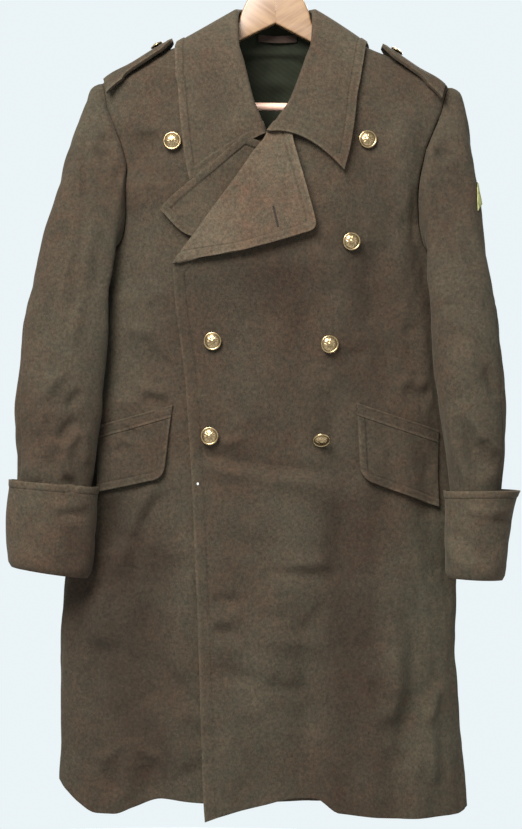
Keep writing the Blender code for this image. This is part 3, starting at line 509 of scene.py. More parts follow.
# Creases on the fronts: a line from x, z to x, z, its bow, half width, height and lean
FRONT_CREASES = number_rows("""
-201 -545 -162 -555 2 9.1 5.5 0.2
-170 -575 -128 -610 3 10.4 -4.6 0
-189 -627 -142 -638 2 9.1 6.4 0.2
-216 -653 -175 -644 0 9.1 5.1 0.2
-175 -644 -137 -658 -2 9.1 -5.5 0
-209 -727 -195 -706 2 10.4 -3.9 0
-195 -706 -187 -687 -2 10.4 -3.7 0
-222 -701 -208 -715 0 10.4 2.3 0
-175 -272 -174 -347 3 23.4 -10.3 0
-154 -302 -193 -389 4 18.2 5.5 0
-167 -510 -139 -534 0 15.6 -4.1 0
-212 -497 -181 -510 2 11.7 2.5 0
-103 -717 -6 -738 2 11.7 -6.4 0
-98 -731 -6 -752 2 10.4 7.4 0.25
-15 -738 85 -750 -2 11.7 -5.1 0
-14 -752 88 -764 -2 10.4 5.5 0.2
-68 -707 -33 -697 1 6.5 4.6 0
95 -579 140 -574 2 7.8 -3 0
185 -546 210 -541 1 7.8 -2.8 0
142 -422 143 -557 4 22.1 -9 0
181 -235 191 -396 4 18.2 7.6 0
86 -582 103 -782 4 22.1 -10.3 0
103 -768 111 -906 2 22.1 -10.3 0
126 -740 135 -985 4 20.8 11 0
186 -624 225 -638 2 10.4 -5.1 0
179 -611 221 -621 2 9.1 3.7 0.2
-7 -884 101 -884 2 9.1 -5.1 0
29 -870 88 -867 2 10.4 4.6 0.2
-6 -935 29 -947 2 9.1 -5.1 0
-10 -1032 56 -1047 3 10.4 -5.5 0
44 -969 82 -921 3 9.1 -5.1 0
-8 -977 50 -984 -2 11.7 5.1 0.2
64 -982 64 -1111 4 18.2 -9 0
174 -981 177 -1092 -3 15.6 11.7 0
146 -1029 167 -1073 2 10.4 -5.1 0
197 -1042 199 -1156 2 15.6 -9.7 0
245 -1039 227 -1099 3 9.1 7.8 0.2
227 -1093 235 -1177 -3 9.1 7.8 0
165 -1109 198 -1136 2 10.4 4.1 0
-152 -763 -195 -843 3 11.7 8.7 0.2
-194 -837 -207 -893 2 11.7 6.4 0
-145 -773 -180 -833 3 9.1 -6.4 0
-180 -827 -182 -913 2 10.4 -6.4 0
-221 -782 -216 -860 2 18.2 -13.1 0
-127 -861 -126 -940 2 15.6 -6.9 0
-153 -1002 -85 -1078 3 10.4 -7.4 0
-160 -1058 -97 -1157 5 23.4 14.5 0.2
-107 -1083 -85 -1121 2 10.4 -5.1 0
-232 -1150 -187 -1120 2 7.8 6.4 0.2
-187 -1120 -142 -1143 2 7.8 6.4 0.2
-188 -1131 -187 -1203 0 10.4 6 0
-221 -1159 -201 -1196 0 13 -6.4 0
-164 -1151 -157 -1196 0 13 -6.4 0
-75 -920 -31 -924 1 9.1 -5.5 0
-75 -946 -40 -949 1 9.1 5.1 0.2
-75 -964 -44 -967 1 7.8 -4.1 0
-72 -982 -29 -987 2 10.4 5.5 0.2
-75 -1015 -2 -1030 3 10.4 -6 0
-44 -1071 -1 -1076 2 13 5.1 0
-59 -839 31 -849 4 18.2 -4.1 0
40 -506 83 -616 5 23.4 -5.5 0
-42 -549 27 -569 5 20.8 4.8 0
-237 -911 -218 -994 3 18.2 9 0
-229 -980 -238 -1090 3 15.6 -8.3 0
-205 -924 -173 -1007 4 13 4.1 0
-214 -352 -198 -510 3 16.9 -5.5 0
116 -781 120 -1057 3 28.6 -9 0
172 -863 183 -1056 3 23.4 8.3 0
20 -866 -3 -1142 4 33.8 6.2 0
-148 -848 -160 -979 4 20.8 -6.9 0
-112 -868 -123 -1061 3 15.6 6.2 0
225 -697 225 -863 2 15.6 -6.2 0
203 -338 214 -504 3 15.6 -7.6 0
-210 -262 -200 -338 2 13 -3.7 0
""")

# Creases on the back
BACK_CREASES = number_rows("""
-120 -310 -138 -520 7 17 2.2 0.1
92 -290 112 -470 -6 15 -2 0
-60 -186 64 -190 -5 9 -1.6 0
-158 -606 -58 -622 6 9 -1.8 0
-30 -575 60 -560 5 10 1.5 0.2
46 -640 158 -622 5 8 2 0.2
-182 -630 -150 -790 6 13 2.2 0
152 -690 118 -860 -6 12 -2.2 0
-62 -800 -84 -1030 7 15 2.4 0
30 -720 48 -980 -6 14 -2.2 0
192 -850 208 -1070 5 12 2.6 0
-212 -900 -204 -1110 5 11 -2.4 0
100 -990 88 -1170 4 12 2.4 0
-30 -1010 -22 -1180 3 11 -2.2 0
-140 -960 -100 -1040 4 9 1.8 0.2
120 -420 180 -500 6 9 1.7 0.2
-190 -470 -130 -540 5 9 -1.7 0
""")

# Creases on the front of each sleeve and cuff
SLEEVE_CREASES = {
    1: number_rows("""
213 -284 230 -312 2 6.2 5.3 0
227 -310 259 -314 2 6.2 5.3 0
224 -295 246 -302 1 7.5 -7.2 0
229 -251 238 -265 0 6.2 3.4 0
216 -324 231 -481 3 8.8 4.2 0
231 -473 249 -552 2 8.8 4.2 0
248 -510 284 -563 2 6.2 4.6 0.2
241 -502 265 -536 1 7.5 -4.2 0
296 -591 314 -640 2 7.5 -5.3 0
264 -659 292 -747 3 11.2 -9.5 0
246 -645 273 -757 3 10 8 0
268 -656 315 -715 3 7.5 7.2 0.3
292 -694 307 -741 2 11.2 -6.1 0
268 -558 290 -613 2 10 3.4 0
272 -379 285 -489 3 12.5 -3.4 0
269 -789 319 -796 1 6.2 4.2 0.2
300 -799 327 -807 1 6.2 -6.1 0
243 -822 281 -875 2 10 6.1 0
260 -819 303 -864 2 11.2 -4.9 0
304 -841 316 -878 1 8.8 3 0
"""),
    -1: number_rows("""
-268 -252 -269 -380 2 6.2 4.9 0.2
-270 -380 -288 -553 3 8.8 3.8 0.2
-255 -300 -221 -312 2 8.8 -8 0
-244 -280 -222 -291 1 7.5 -5.3 0
-252 -289 -239 -327 2 7.5 4.2 0
-230 -317 -221 -361 2 10 5.3 0
-242 -387 -260 -510 3 10 4.2 0
-258 -501 -274 -576 2 8.8 4.2 0
-279 -608 -314 -657 3 10 6.5 0.2
-256 -637 -279 -663 2 7.5 -6.1 0
-263 -674 -290 -710 2 8.8 -7.2 0
-260 -689 -281 -728 2 7.5 5.3 0
-281 -723 -270 -760 1 6.2 4.2 0
-254 -688 -249 -739 1 6.2 4.2 0
-281 -753 -264 -772 1 6.2 -6.1 0
-286 -712 -300 -749 2 10 -4.6 0
-300 -657 -322 -700 2 10 4.6 0
-308 -512 -315 -622 3 12.5 -3.4 0
-293 -429 -303 -512 2 12.5 3.4 0
-332 -736 -315 -763 1 8.8 3.8 0
-298 -795 -254 -791 1 6.2 3 0
-290 -807 -251 -802 1 6.2 -2.8 0
-314 -816 -283 -870 2 10 3.4 0
-273 -822 -258 -877 2 10 -3.4 0
-346 -765 -334 -821 1 7.5 -3.8 0
"""),
}

# Creases on the back of both sleeves, x outwards
SLEEVE_BACK_CREASES = number_rows("""
268 -262 292 -340 4 9 -2.6 0
286 -330 300 -470 5 10 2.2 0
322 -520 276 -590 5 8 3 0.2
330 -560 282 -640 4 7 -2.8 0
334 -610 284 -668 5 7 2.8 0.2
338 -680 300 -735 3 7 -2.4 0
262 -520 292 -600 4 9 1.8 0
318 -800 286 -858 3 8 1.8 0
""")

NECK_SHARE = 0.34           # share of the back's half width taken by the neck
LAST_ROW = {1: 8.0, -1: 7.0}        # last row of each lapel's table

# Rise of the left front where it lies on the right one and on the right lapel, the
# distances from the middle and the heights over which each fades away
OVER_PANEL, OVER_PANEL_END = 4.6, (88.0, 135.0)
OVER_LAPEL, OVER_LAPEL_END, OVER_LAPEL_FOOT = 6.4, (62.0, 120.0), (-505.0, -452.0)
OVER_TOP = (-262.0, -190.0)

# From an armhole seam to the first ring of its sleeve: how far out and down it lies at
# the shoulder and under the arm, and how far to the front at the side and under the arm
HEAD_OUT, HEAD_AHEAD, HEAD_DOWN = (17.0, 6.0), (8.0, 3.0), (9.0, 5.0)

# Turn and half width of the hollow at a sleeve's front, of its lean towards the body
# and of the part of a cuff that the body presses; the turn at the front of the arm
BOW_TURN, LEAN_TURN, BODY_TURN, FRONT_TURN = (118.0, 40.0), (172.0, 48.0), (185.0, 50.0), 60.0
CUFF_PRESSED = 0.55

# Pushing of the sleeves out of the body: how softly, how far round it and below what
PUSH_SOFTNESS, PUSH_REACH, PUSH_TOP = 0.0006, 1.4, (-462.0, -440.0)

# Depths over which front and back creases begin; the shoulders are calmer than the rest
FACE_FADE, SHOULDER_CALM, SHOULDER_HEIGHTS = (4.0, 24.0), 0.75, (-215.0, -150.0)

# A lapel's wall: how far before the roll and how deep it starts, and its fullness
LAPEL_START, LAPEL_SUNK, LAPEL_BULGE = 2.6, 1.3, 0.5

# The lining hangs this far inside the back, whose height is read a little higher up
LINING_GAP, LINING_RAISED, LINING_LEVEL = 1.8, 11.0, -150.0
LINING_SLOPE, LINING_BEND = 0.9, -152.0     # below the bend it leaves the stand

# Waves of hanging wool: length, height and how many
WAVES = ((170.0, 1.5, 5), (85.0, 0.75, 7), (42.0, 0.32, 9), (26.0, 0.10, 9))

# What the scene's shells have beyond the CAD solids
STRAP_TAPER = 0.05          # share by which a strap narrows to the sleeve
STRAP_SHIFT = 9.0           # how far it turns to the front there
STRAP_DIP = 5.5             # how much a strap dips into the sleeve seam
STRAP_WALL = DOUBLE_CLOTH + 0.4
FACING_WALL = DOUBLE_CLOTH - 0.6    # of lapels and cuffs
FINE_STEP = 1.5             # spacing of the points that an edge's distance is taken from
ROUND_EDGE = 0.42           # share of the wall that its edges are rounded by
SEAM_DIP, SEAM_REACH = 1.3, 2.4     # depth and half width of the dip at a seam
TOP_V = 1.9985              # the last row, just short of the shoulder seam
PANEL_SHARE = 0.9996        # share of its width that a panel fills, short of the side seam
ALLOWANCE = 9.0             # half width of the turnings at an armhole
ALLOWANCE_FACES = (0.8, 1.8)        # how far they lie under the cloth
SEAM_TRIM = 0.06            # degrees kept free at each sleeve seam
CUFF_PUFF, WELT_PUFF, STRAP_PUFF = 0.6, 0.5, 0.7    # their shares of the padding
STRAP_MARGIN = 0.8          # share of the flaps' margin that the straps have
FORWARDS, UPWARDS = (0.0, -1.0, 0.0), (0.0, 0.0, 1.0)
STITCH_LENGTH = 4.2         # of the machine stitches along the edges
CUFF_INSET = 10.0           # from the top edge of a cuff to its stitches
WELT_INSET = 4.0            # from the edges of a welt to its stitches
GORGE_TUCK = (0.0, 3.5, 6.0)        # how far the left lapel's top goes under the collar
GORGE_TOP = (-46.0, -11.5, -271.0)  # outer x, inner x and z of the gorge's facing
GORGE_FALL = (-8.0, -4.0, -32.0)    # how they change down to its foot
GORGE_FACES = (1.2, 0.1)            # how far its faces lie from the front
WELT_TOP, WELT_FACES = -0.4, (3.1, 1.1)     # above the flap's top, off the front
FLAP_STAND = (3.5, 3.5)             # how far a flap stands off, and more at its foot
LOOP_START, LOOP_RUN = 31.0, 55.0   # of the hanging loop, from the wearer's left
LOOP_FOOT, LOOP_HEIGHT = -136.0, 10.5
LOOP_SAG, LOOP_STAND, LOOP_WALL = 1.5, (2.0, 2.5), 1.6  # it stands off more in the middle
BADGE_TURN, BADGE_RING = (-24.0, 46.0), (4.05, 0.45)    # start and extent on the sleeve
BADGE_FACES = (2.0, 0.8)            # off the sleeve
HOLE_PLACE = (2.5, -392.0)          # middle of the lapel's buttonhole
HOLE_SLANT = (0.25, 0.0, -1.0)      # its direction
HOLE_LENGTH, HOLE_HALF, HOLE_THREAD = 29.0, 0.75, 0.55
STRAP_BUTTON_SHARE = (0.14, 0.22, 0.30)     # before, at and behind it along the strap
STRAP_BUTTON_SUNK = 1.2     # how deep its back lies in the strap
LINT_PLACE, LINT_RADIUS, LINT_LIFT = (-97.1, -762.6), 1.5, 3.6
GLUE_LINE = 0.03            # half the width of the glued joint between the halves
WOOD_CREASE = math.radians(40.0)    # edges of the hanger sharper than this look sharp

CAMERA_PLACE = (-0.0117, -2.915, -0.6653)

# Lamps: place, height that they are aimed at and width
LAMPS = {
    "Key": ((-0.95, -2.05, 1.35), -0.55, 1.7),
    "Fill": ((2.2, -2.2, -0.4), -0.7, 1.6),
    "Back": ((0.6, 2.6, 0.9), -0.6, 1.7),
}

SIDES = (("left", 1), ("right", -1))        # the wearer's


def stacked(x, y, z):
    """Points from their coordinates."""
    return np.stack(np.broadcast_arrays(x, y, z), axis=-1).astype(float)


def dot(first, second):
    return np.sum(first * second, axis=-1, keepdims=True)


def unit(vectors):
    return vectors / np.maximum(np.linalg.norm(vectors, axis=-1, keepdims=True), 1e-9)


def ramp(value, start, end):
    """0 before start, 1 after end, smooth between."""
    share = np.clip((value - start) / (end - start), 0.0, 1.0)
    return share * share * (3.0 - 2.0 * share)


def half_width(x, z):
    """Half width of the body at heights, on the side that x or an angle tells."""
    return np.where(np.asarray(x) > 0.0, BODY.at("left", z), BODY.at("right", z))


def section(angle, z):
    """Points of the plain body surface, without folds."""
    half = half_width(angle, z)
    depth = np.where(np.abs(angle) < 90.0, BODY.at("front", z), BODY.at("back", z))
    sine = np.sin(np.radians(angle))
    cosine = np.cos(np.radians(angle))
    power = 2.0 / SECTION_POWER
    return stacked(half * np.sign(sine) * np.abs(sine) ** power,
                   -depth * np.sign(cosine) * np.abs(cosine) ** power, z)


def angle_at(x, z):
    """Angle of the front at a distance x from the middle."""
    share = np.minimum(np.abs(x) / half_width(x, z), 1.0) ** (SECTION_POWER / 2.0)
    return np.copysign(np.degrees(np.arcsin(share)), x)


def outward(angle, z):
    """Unit normals of the plain body surface."""
    across = section(angle + 0.5, z) - section(angle - 0.5, z)
    down = section(angle, z - 1.0) - section(angle, z + 1.0)
    normal = np.cross(down, across)
    flat = np.linalg.norm(normal, axis=-1, keepdims=True) < 1e-6
    sideways = stacked(np.copysign(1.0, angle), 0.0, 0.0 * np.asarray(z))
    return unit(np.where(flat, sideways, normal))


def large_folds(x, z, face):
    """Lift of the folds that the CAD solids have too."""
    total = np.zeros(np.broadcast(x, z).shape)
    for side, x0, z0, x1, z1, width, height in FOLDS:
        run_x, run_z = x1 - x0, z1 - z0
        share = ((x - x0) * run_x + (z - z0) * run_z) / (run_x ** 2 + run_z ** 2)
        held = np.clip(share, 0.0, 1.0)
        gap = np.hypot(x - x0 - run_x * held, z - z0 - run_z * held) / width
        if z1 > -1150:
            fade = 1.0 - np.abs(2.0 * held - 1.0) ** 4
        else:
            fade = np.minimum(1.0, 1.6 * held)
        total = total + np.where(face == side, height * fade * np.exp(-gap * gap), 0.0)
    return total


def creased(rows, x, z):
    """Lift of creases: ridges, or troughs where the height is negative, along bowed lines."""
    total = np.zeros(np.broadcast(x, z).shape)
    for x0, z0, x1, z1, bow, width, height, lean in rows:
        run = math.hypot(x1 - x0, z1 - z0)
        along_x, along_z = (x1 - x0) / run, (z1 - z0) / run
        share = ((x - x0) * along_x + (z - z0) * along_z) / run
        held = np.clip(share, 0.0, 1.0)
        aside = (x - x0) * along_z - (z - z0) * along_x - 4.0 * bow * held * (1.0 - held)
        gap = aside / (width * (1.0 + lean * np.tanh(aside / width)))
        fade = 1.0 - np.abs(2.0 * held - 1.0) ** 3
        total = total + height * fade * np.exp(-gap * gap)
    return total


def unevenness(x, z, seed):
    """Slow waviness of hanging wool, the same at each run."""
    chance = np.random.default_rng(seed)
    total = np.zeros(np.broadcast(x, z).shape)
    for length, height, count in WAVES:
        for _ in range(count):
            turn = chance.uniform(0.0, math.pi)
            reach = length * chance.uniform(0.75, 1.3)
            phase = chance.uniform(0.0, math.tau)
            wave = (x * math.cos(turn) + z * math.sin(turn)) * math.tau / reach + phase
            total = total + height * chance.uniform(0.4, 1.0) * np.sin(wave)
    return 0.55 * total


def fold_lift(point):
    """How far folds and creases push the surface out at points of the body."""
    x, y, z = point[..., 0], point[..., 1], point[..., 2]
    face = np.where(y < 0.0, 1, -1)
    front, back = ramp(-y, *FACE_FADE), ramp(y, *FACE_FADE)
    total = large_folds(x, z, face)
    total = total + front * creased(FRONT_CREASES, x, z) + back * creased(BACK_CREASES, x, z)
    calm = 1.0 - SHOULDER_CALM * ramp(z, *SHOULDER_HEIGHTS)
    return total + calm * unevenness(x + 3.0 * y, z, 11)


def skin(angle, z, lift=0.0):
    """Points of the outer face of the cloth at angles and heights, moved out."""
    angle = np.where(np.asarray(angle) > 180.0, np.asarray(angle) - 360.0, angle)
    point = section(angle, z)
    return point + outward(angle, z) * (lift + fold_lift(point))[..., None]


def skin_at(x, z, lift=0.0):
    """Points of the front at a distance x from the middle, moved out."""
    return skin(angle_at(x, z), z, lift)


def over_lift(x, z):
    """The left front lies on the right one, and higher on the right lapel."""
    on_panel = 1.0 - ramp(x, *OVER_PANEL_END)
    on_lapel = (1.0 - ramp(x, *OVER_LAPEL_END)) * ramp(z, *OVER_LAPEL_FOOT)
    return (OVER_PANEL * on_panel + OVER_LAPEL * on_lapel) * (1.0 - ramp(z, *OVER_TOP))


def panel_skin(angle, z, lift):
    """Points on the fronts or back as they lie, the left front over the right one."""
    on_front = (angle > 0.0) & (angle < 90.0)
    return skin(angle, z, lift + np.where(on_front, over_lift(section(angle, z)[..., 0], z), 0.0))


def armhole_z(turn):
    """Height on an armhole seam: turn 0 is the shoulder point, 180 the underarm."""
    middle = 0.5 * (SHOULDER_POINT_Z + UNDERARM_Z)
    half = 0.5 * (SHOULDER_POINT_Z - UNDERARM_Z)
    return middle + half * np.cos(np.radians(turn))


def upper_outer_z(v):
    """Height where a row of an upper front or back meets the armhole."""
    return armhole_z(180.0 * (2.0 - v))


# ---- forms of the pieces

def front_row(side, v):
    """Ends of rows of a front: inner angle and height, outer angle and height."""
    edge = OVER_EDGE if side > 0 else UNDER_EDGE
    hem = OVER_HEM if side > 0 else UNDER_HEM
    foot = edge.key[0]
    upper = v > 1.0
    inner_z = np.where(upper, UPPER_ROWS.at("inner", v),
                       foot + v * (UPPER_ROWS.at("inner", 1.0) - foot))
    neck = side * NECK_FRONT.at("over" if side > 0 else "under", inner_z)
    free = angle_at(edge.at("x", inner_z), inner_z)
    inner = np.where(upper & (inner_z >= NECK_FRONT.key[0]), neck, free)
    hem_z = hem.at("z", side * SIDE_SEAM)
    outer_z = np.where(upper, upper_outer_z(v), hem_z + v * (UNDERARM_Z - hem_z))
    outer = side * np.where(upper, ARMHOLE.at("front", outer_z), SIDE_SEAM)
    return inner, inner_z, outer, outer_z


def front_point(side, u, v, lift=0.0):
    """Points of a front: u from its free edge out to the side, v from the hem up."""
    inner, inner_z, outer, outer_z = front_row(side, v)
    angle = inner + u * (outer - inner)
    z = inner_z + u * (outer_z - inner_z)
    hem = OVER_HEM if side > 0 else UNDER_HEM
    base = front_row(side, 0.0 * v)
    straight = base[1] + u * (base[3] - base[1])
    z = z + (hem.at("z", angle) - straight) * np.clip(1.0 - v, 0.0, 1.0) ** 3
    if side > 0:
        lift = lift + over_lift(section(angle, z)[..., 0], z)
    return skin(angle, z, lift)


def back_top(share):
    """Upper edge of the back: the neck seam, then the shoulder seam."""
    along = np.clip(share / NECK_SHARE, 0.0, 1.0)
    out = (share - NECK_SHARE) / (1.0 - NECK_SHARE)
    on_neck = share < NECK_SHARE
    away = np.where(on_neck, 180.0 - NECK_BACK.at("angle", along), 90.0)
    shoulder = NECK_POINT_Z + out * (SHOULDER_POINT_Z - NECK_POINT_Z)
    return away, np.where(on_neck, NECK_BACK.at("z", along), shoulder)


def back_point(u, v, lift=0.0):
    """Points of the back: u from -1 to 1 across, v from the hem up to the seam."""
    share = np.abs(u)
    low_away = share * (180.0 - SIDE_SEAM)
    hem = BACK_HEM.at("z", 180.0 - np.copysign(low_away, u))
    f = np.clip(v - 1.0, 0.0, 1.0)
    outer_z = upper_outer_z(np.maximum(v, 1.0))
    middle_z = UNDERARM_Z + f * (NECK_BACK.at("z", 0.0) - UNDERARM_Z)
    top_away, top_z = back_top(share)
    top_ruled_z = NECK_BACK.at("z", 0.0) + share * (SHOULDER_POINT_Z - NECK_BACK.at("z", 0.0))
    high_away = share * ARMHOLE.at("back", outer_z) + f ** 16 * (top_away - share * 90.0)
    high_z = middle_z + share * (outer_z - middle_z) + f ** 3 * (top_z - top_ruled_z)
    away = np.where(v <= 1.0, low_away, high_away)
    z = np.where(v <= 1.0, hem + v * (UNDERARM_Z - hem), high_z)
    return skin(180.0 - np.copysign(away, u), z, lift)


def armhole_angle(side, turn):
    """Angles of the armhole seam on the body."""
    z = armhole_z(turn)
    ahead = np.sin(np.radians(turn)) >= 0.0
    return side * np.where(ahead, ARMHOLE.at("front", z), 180.0 - ARMHOLE.at("back", z))


def armhole_point(side, turn):
    """Points of the armhole seam: turn 0 at the shoulder, 90 front, 180 underarm."""
    return skin(armhole_angle(side, turn), armhole_z(turn))


def around_turn(turn, middle, width):
    """1 at a turn of a sleeve, fading away on both sides."""
    return np.exp(-((turn % 360.0 - middle) / width) ** 2)


def sleeve_ring(side, turn, ring):
    """Points on whole-numbered rings of a sleeve."""
    share = 0.5 * (1.0 + np.cos(np.radians(turn)))
    seam = armhole_point(side, turn)
    high, low = share ** 2, (1.0 - share) ** 2
    head = seam + stacked(side * (HEAD_OUT[0] * high + HEAD_OUT[1] * low),
                          -HEAD_AHEAD[0] * np.sin(np.radians(turn)) - HEAD_AHEAD[1] * low,
                          -HEAD_DOWN[0] * high - HEAD_DOWN[1] * low)
    row = SLEEVE[side]
    turned = np.radians(turn + row.at("twist", ring))
    across = 0.5 * (1.0 + np.cos(turned))
    x = row.at("inner_x", ring) + across * (row.at("outer_x", ring) - row.at("inner_x", ring))
    z = row.at("inner_z", ring) + across * (row.at("outer_z", ring) - row.at("inner_z", ring))
    x = x - row.at("bow", ring) * around_turn(turn, *BOW_TURN)
    y = row.at("y", ring) - row.at("depth", ring) * np.sin(turned)
    y = y - row.at("lean", ring) * around_turn(turn, *LEAN_TURN)
    level = np.broadcast_to(ring, np.broadcast(turn, ring).shape)[..., None]
    return np.where(level <= 0, seam, np.where(level == 1, head, stacked(side * x, y, z)))


def beside_body(point):
    """Push points of a sleeve out of the body's section at their height."""
    x, y, z = point[..., 0], point[..., 1], point[..., 2]
    gap = SLEEVE_CLEAR.at("gap", z)
    half = half_width(x, z) + gap
    depth = np.where(y < 0.0, BODY.at("front", z), BODY.at("back", z)) + gap
    reach = (np.abs(x / half) ** SECTION_POWER + np.abs(y / depth) ** SECTION_POWER)
    reach = np.maximum(reach ** (1.0 / SECTION_POWER), 0.05)
    soft = 0.5 * (reach + 1.0 + np.sqrt((reach - 1.0) ** 2 + PUSH_SOFTNESS))
    weight = np.where(reach >= PUSH_REACH, 0.0, 1.0 - ramp(z, *PUSH_TOP))
    scale = 1.0 + weight * (soft / reach - 1.0)
    return stacked(x * scale, y * scale, z)


def sleeve_plain(side, turn, ring):
    """Smooth curve down the sleeve through its rings, kept beside the body."""
    first = np.minimum(np.floor(ring), 10.0)
    t = (ring - first)[..., None]
    before = sleeve_ring(side, turn, np.maximum(first - 1, 0))
    here = sleeve_ring(side, turn, first)
    after = sleeve_ring(side, turn, first + 1)
    beyond = sleeve_ring(side, turn, np.minimum(first + 2, 11))
    return beside_body(0.5 * (2.0 * here + (after - before) * t
                              + (2.0 * before - 5.0 * here + 4.0 * after - beyond) * t ** 2
                              + (3.0 * here - before - 3.0 * after + beyond) * t ** 3))


def sleeve_point(side, turn, ring, lift=0.0):
    """Points of a sleeve's outer face with its creases, moved out."""
    turn, ring = np.broadcast_arrays(np.asarray(turn, float), np.asarray(ring, float))
    point = sleeve_plain(side, turn, ring)
    around = sleeve_plain(side, turn + 1.0, ring) - sleeve_plain(side, turn - 1.0, ring)
    along = (sleeve_plain(side, turn, ring + 0.02)
             - sleeve_plain(side, turn, np.maximum(ring - 0.02, 0.0)))
    normal = unit(np.cross(around, along) * side)
    ahead = ramp(-normal[..., 1], 0.05, 0.6)
    behind = ramp(normal[..., 1], 0.05, 0.6)
    x, z = point[..., 0], point[..., 2]
    held = ramp(ring, 0.0, 0.5)
    creases = (ahead * creased(SLEEVE_CREASES[side], x, z)
               + behind * creased(SLEEVE_BACK_CREASES, side * x, z)
               + 0.8 * unevenness(x, z + 2.0 * point[..., 1], 23 + side))
    return point + normal * (lift + held * creases)[..., None]


def hind_seam(ring):
    return HIND_SEAM[0] + (HIND_SEAM[1] - HIND_SEAM[0]) * ramp(ring, 4.0, 7.0)


def cuff_point(side, turn, row, lift=0.0):
    peak, height = CUFF_FLARE[side]
    away = np.cos(np.radians(0.5 * (turn - peak))) ** 6
    upper = np.maximum(0.0, (row - 3.0) / 3.0)
    near_body = around_turn(turn, *BODY_TURN)
    stand = CUFF_PROFILE.at("lift", row) * (1.0 - CUFF_PRESSED * near_body * upper)
    return sleeve_point(side, turn, CUFF_PROFILE.at("ring", row),
                        stand + height * away * upper ** 2 + lift)


def folded(seam, crest, middle, edge, normal, radius, t):
    """Sections of folded cloth: up from the seam, round the crest, out to the edge."""
    pull = unit(crest - 0.5 * (seam + middle))
    across = unit(normal - pull * dot(normal, pull))
    centre = crest - pull * radius
    first = centre - across * radius
    last = centre + across * radius
    t = t[..., None]
    rise = seam + (first - seam) * (t / FOLD_START)
    bend = math.pi * (t - FOLD_START) / (FOLD_END - FOLD_START)
    turn = centre - across * (radius * np.cos(bend)) + pull * (radius * np.sin(bend))
    s = (t - FOLD_END) / (1.0 - FOLD_END)
    bulge = 2.0 * middle - 0.5 * (last + edge)
    fall = last * (1.0 - s) ** 2 + edge * s * s + bulge * (2.0 * s * (1.0 - s))
    return np.where(t <= FOLD_START, rise, np.where(t <= FOLD_END, turn, fall))


def collar_side(side, row, across):
    guide = COLLAR[side]
    seam_angle = side * guide.at("seam_angle", row)
    seam_z = guide.at("seam_z", row)
    seam = panel_skin(seam_angle, seam_z, -0.2)
    crest = stacked(side * guide.at("roll_x", row), guide.at("roll_y", row),
                    guide.at("roll_z", row))
    edge_angle = side * guide.at("edge_angle", row)
    edge_z = guide.at("edge_z", row)
    edge = panel_skin(edge_angle, edge_z, guide.at("edge_lift", row))
    middle = 0.5 * (crest + edge) + outward(edge_angle, edge_z) * COLLAR_BULGE[side]
    middle[..., 2] += guide.at("rise", row)
    seam = seam + unit(crest - seam) * COLLAR_SEAM
    return folded(seam, crest, middle, edge, outward(seam_angle, seam_z), COLLAR_FOLD, across)


def collar_point(station, across):
    """Middle of the collar's wall: station 0 the left gorge to 24 the right one."""
    left = collar_side(1, np.minimum(station, 12.0), across)
    right = collar_side(-1, np.minimum(24.0 - station, 12.0), across)
    return np.where((station <= 12.0)[..., None], left, right)


def lapel_point(side, row, across):
    """Middle of a lapel's wall, from the panel's edge over the roll to the free edge."""
    guide = LAPEL[side]
    panel, rise, radius = LAPEL_FOLD[side]
    roll_x, roll_z = guide.at("roll_x", row), guide.at("roll_z", row)
    free_x, free_z = guide.at("edge_x", row), guide.at("edge_z", row)
    lift = guide.at("edge_lift", row)
    reach = np.hypot(roll_x - free_x, roll_z - free_z)
    start_x = roll_x - LAPEL_START * (roll_x - free_x) / reach
    start_z = roll_z - LAPEL_START * (roll_z - free_z) / reach
    seam = skin_at(start_x, start_z, panel - LAPEL_SUNK)
    crest = skin_at(roll_x, roll_z, panel + rise)
    between = skin_at(0.5 * (roll_x + free_x), 0.5 * (roll_z + free_z),
                      0.5 * (panel + rise + radius + lift) + LAPEL_BULGE)
    edge = skin_at(free_x, free_z, lift)
    return folded(seam, crest, between, edge, outward(angle_at(roll_x, roll_z), roll_z),
                  radius, across)


def pocket_point(side, across, down, lift):
    """Points on the front: across 0..1 along the pocket, down in mm from the flap's top."""
    inner_top, outer_top, inner_low, outer_low = (np.array(corner) for corner in POCKET[side])
    across = np.asarray(across)[..., None]
    top = inner_top + (outer_top - inner_top) * across
    low = inner_low + (outer_low - inner_low) * across
    fall = low - top
    spot = top + fall * (np.asarray(down)[..., None]
                         / np.linalg.norm(fall, axis=-1, keepdims=True))
    x, z = spot[..., 0], spot[..., 1]
    if side > 0:
        lift = lift + over_lift(x, z)
    return skin_at(x, z, lift)


def shoulder_height(x, y):
    """Height of the shoulder above points of the plan."""
    x, y = np.broadcast_arrays(np.abs(x), np.abs(y))
    low = np.full(x.shape, -330.0)
    high = np.full(x.shape, NECK_POINT_Z)
    for _ in range(36):
        level = 0.5 * (low + high)
        half = BODY.at("left", level)
        room = np.clip(1.0 - (x / half) ** SECTION_POWER, 0.0, 1.0) ** (1.0 / SECTION_POWER)
        inside = (x < half) & (y < BODY.at("front", level) * room)
        low = np.where(inside, level, low)
        high = np.where(inside, high, level)
    return high


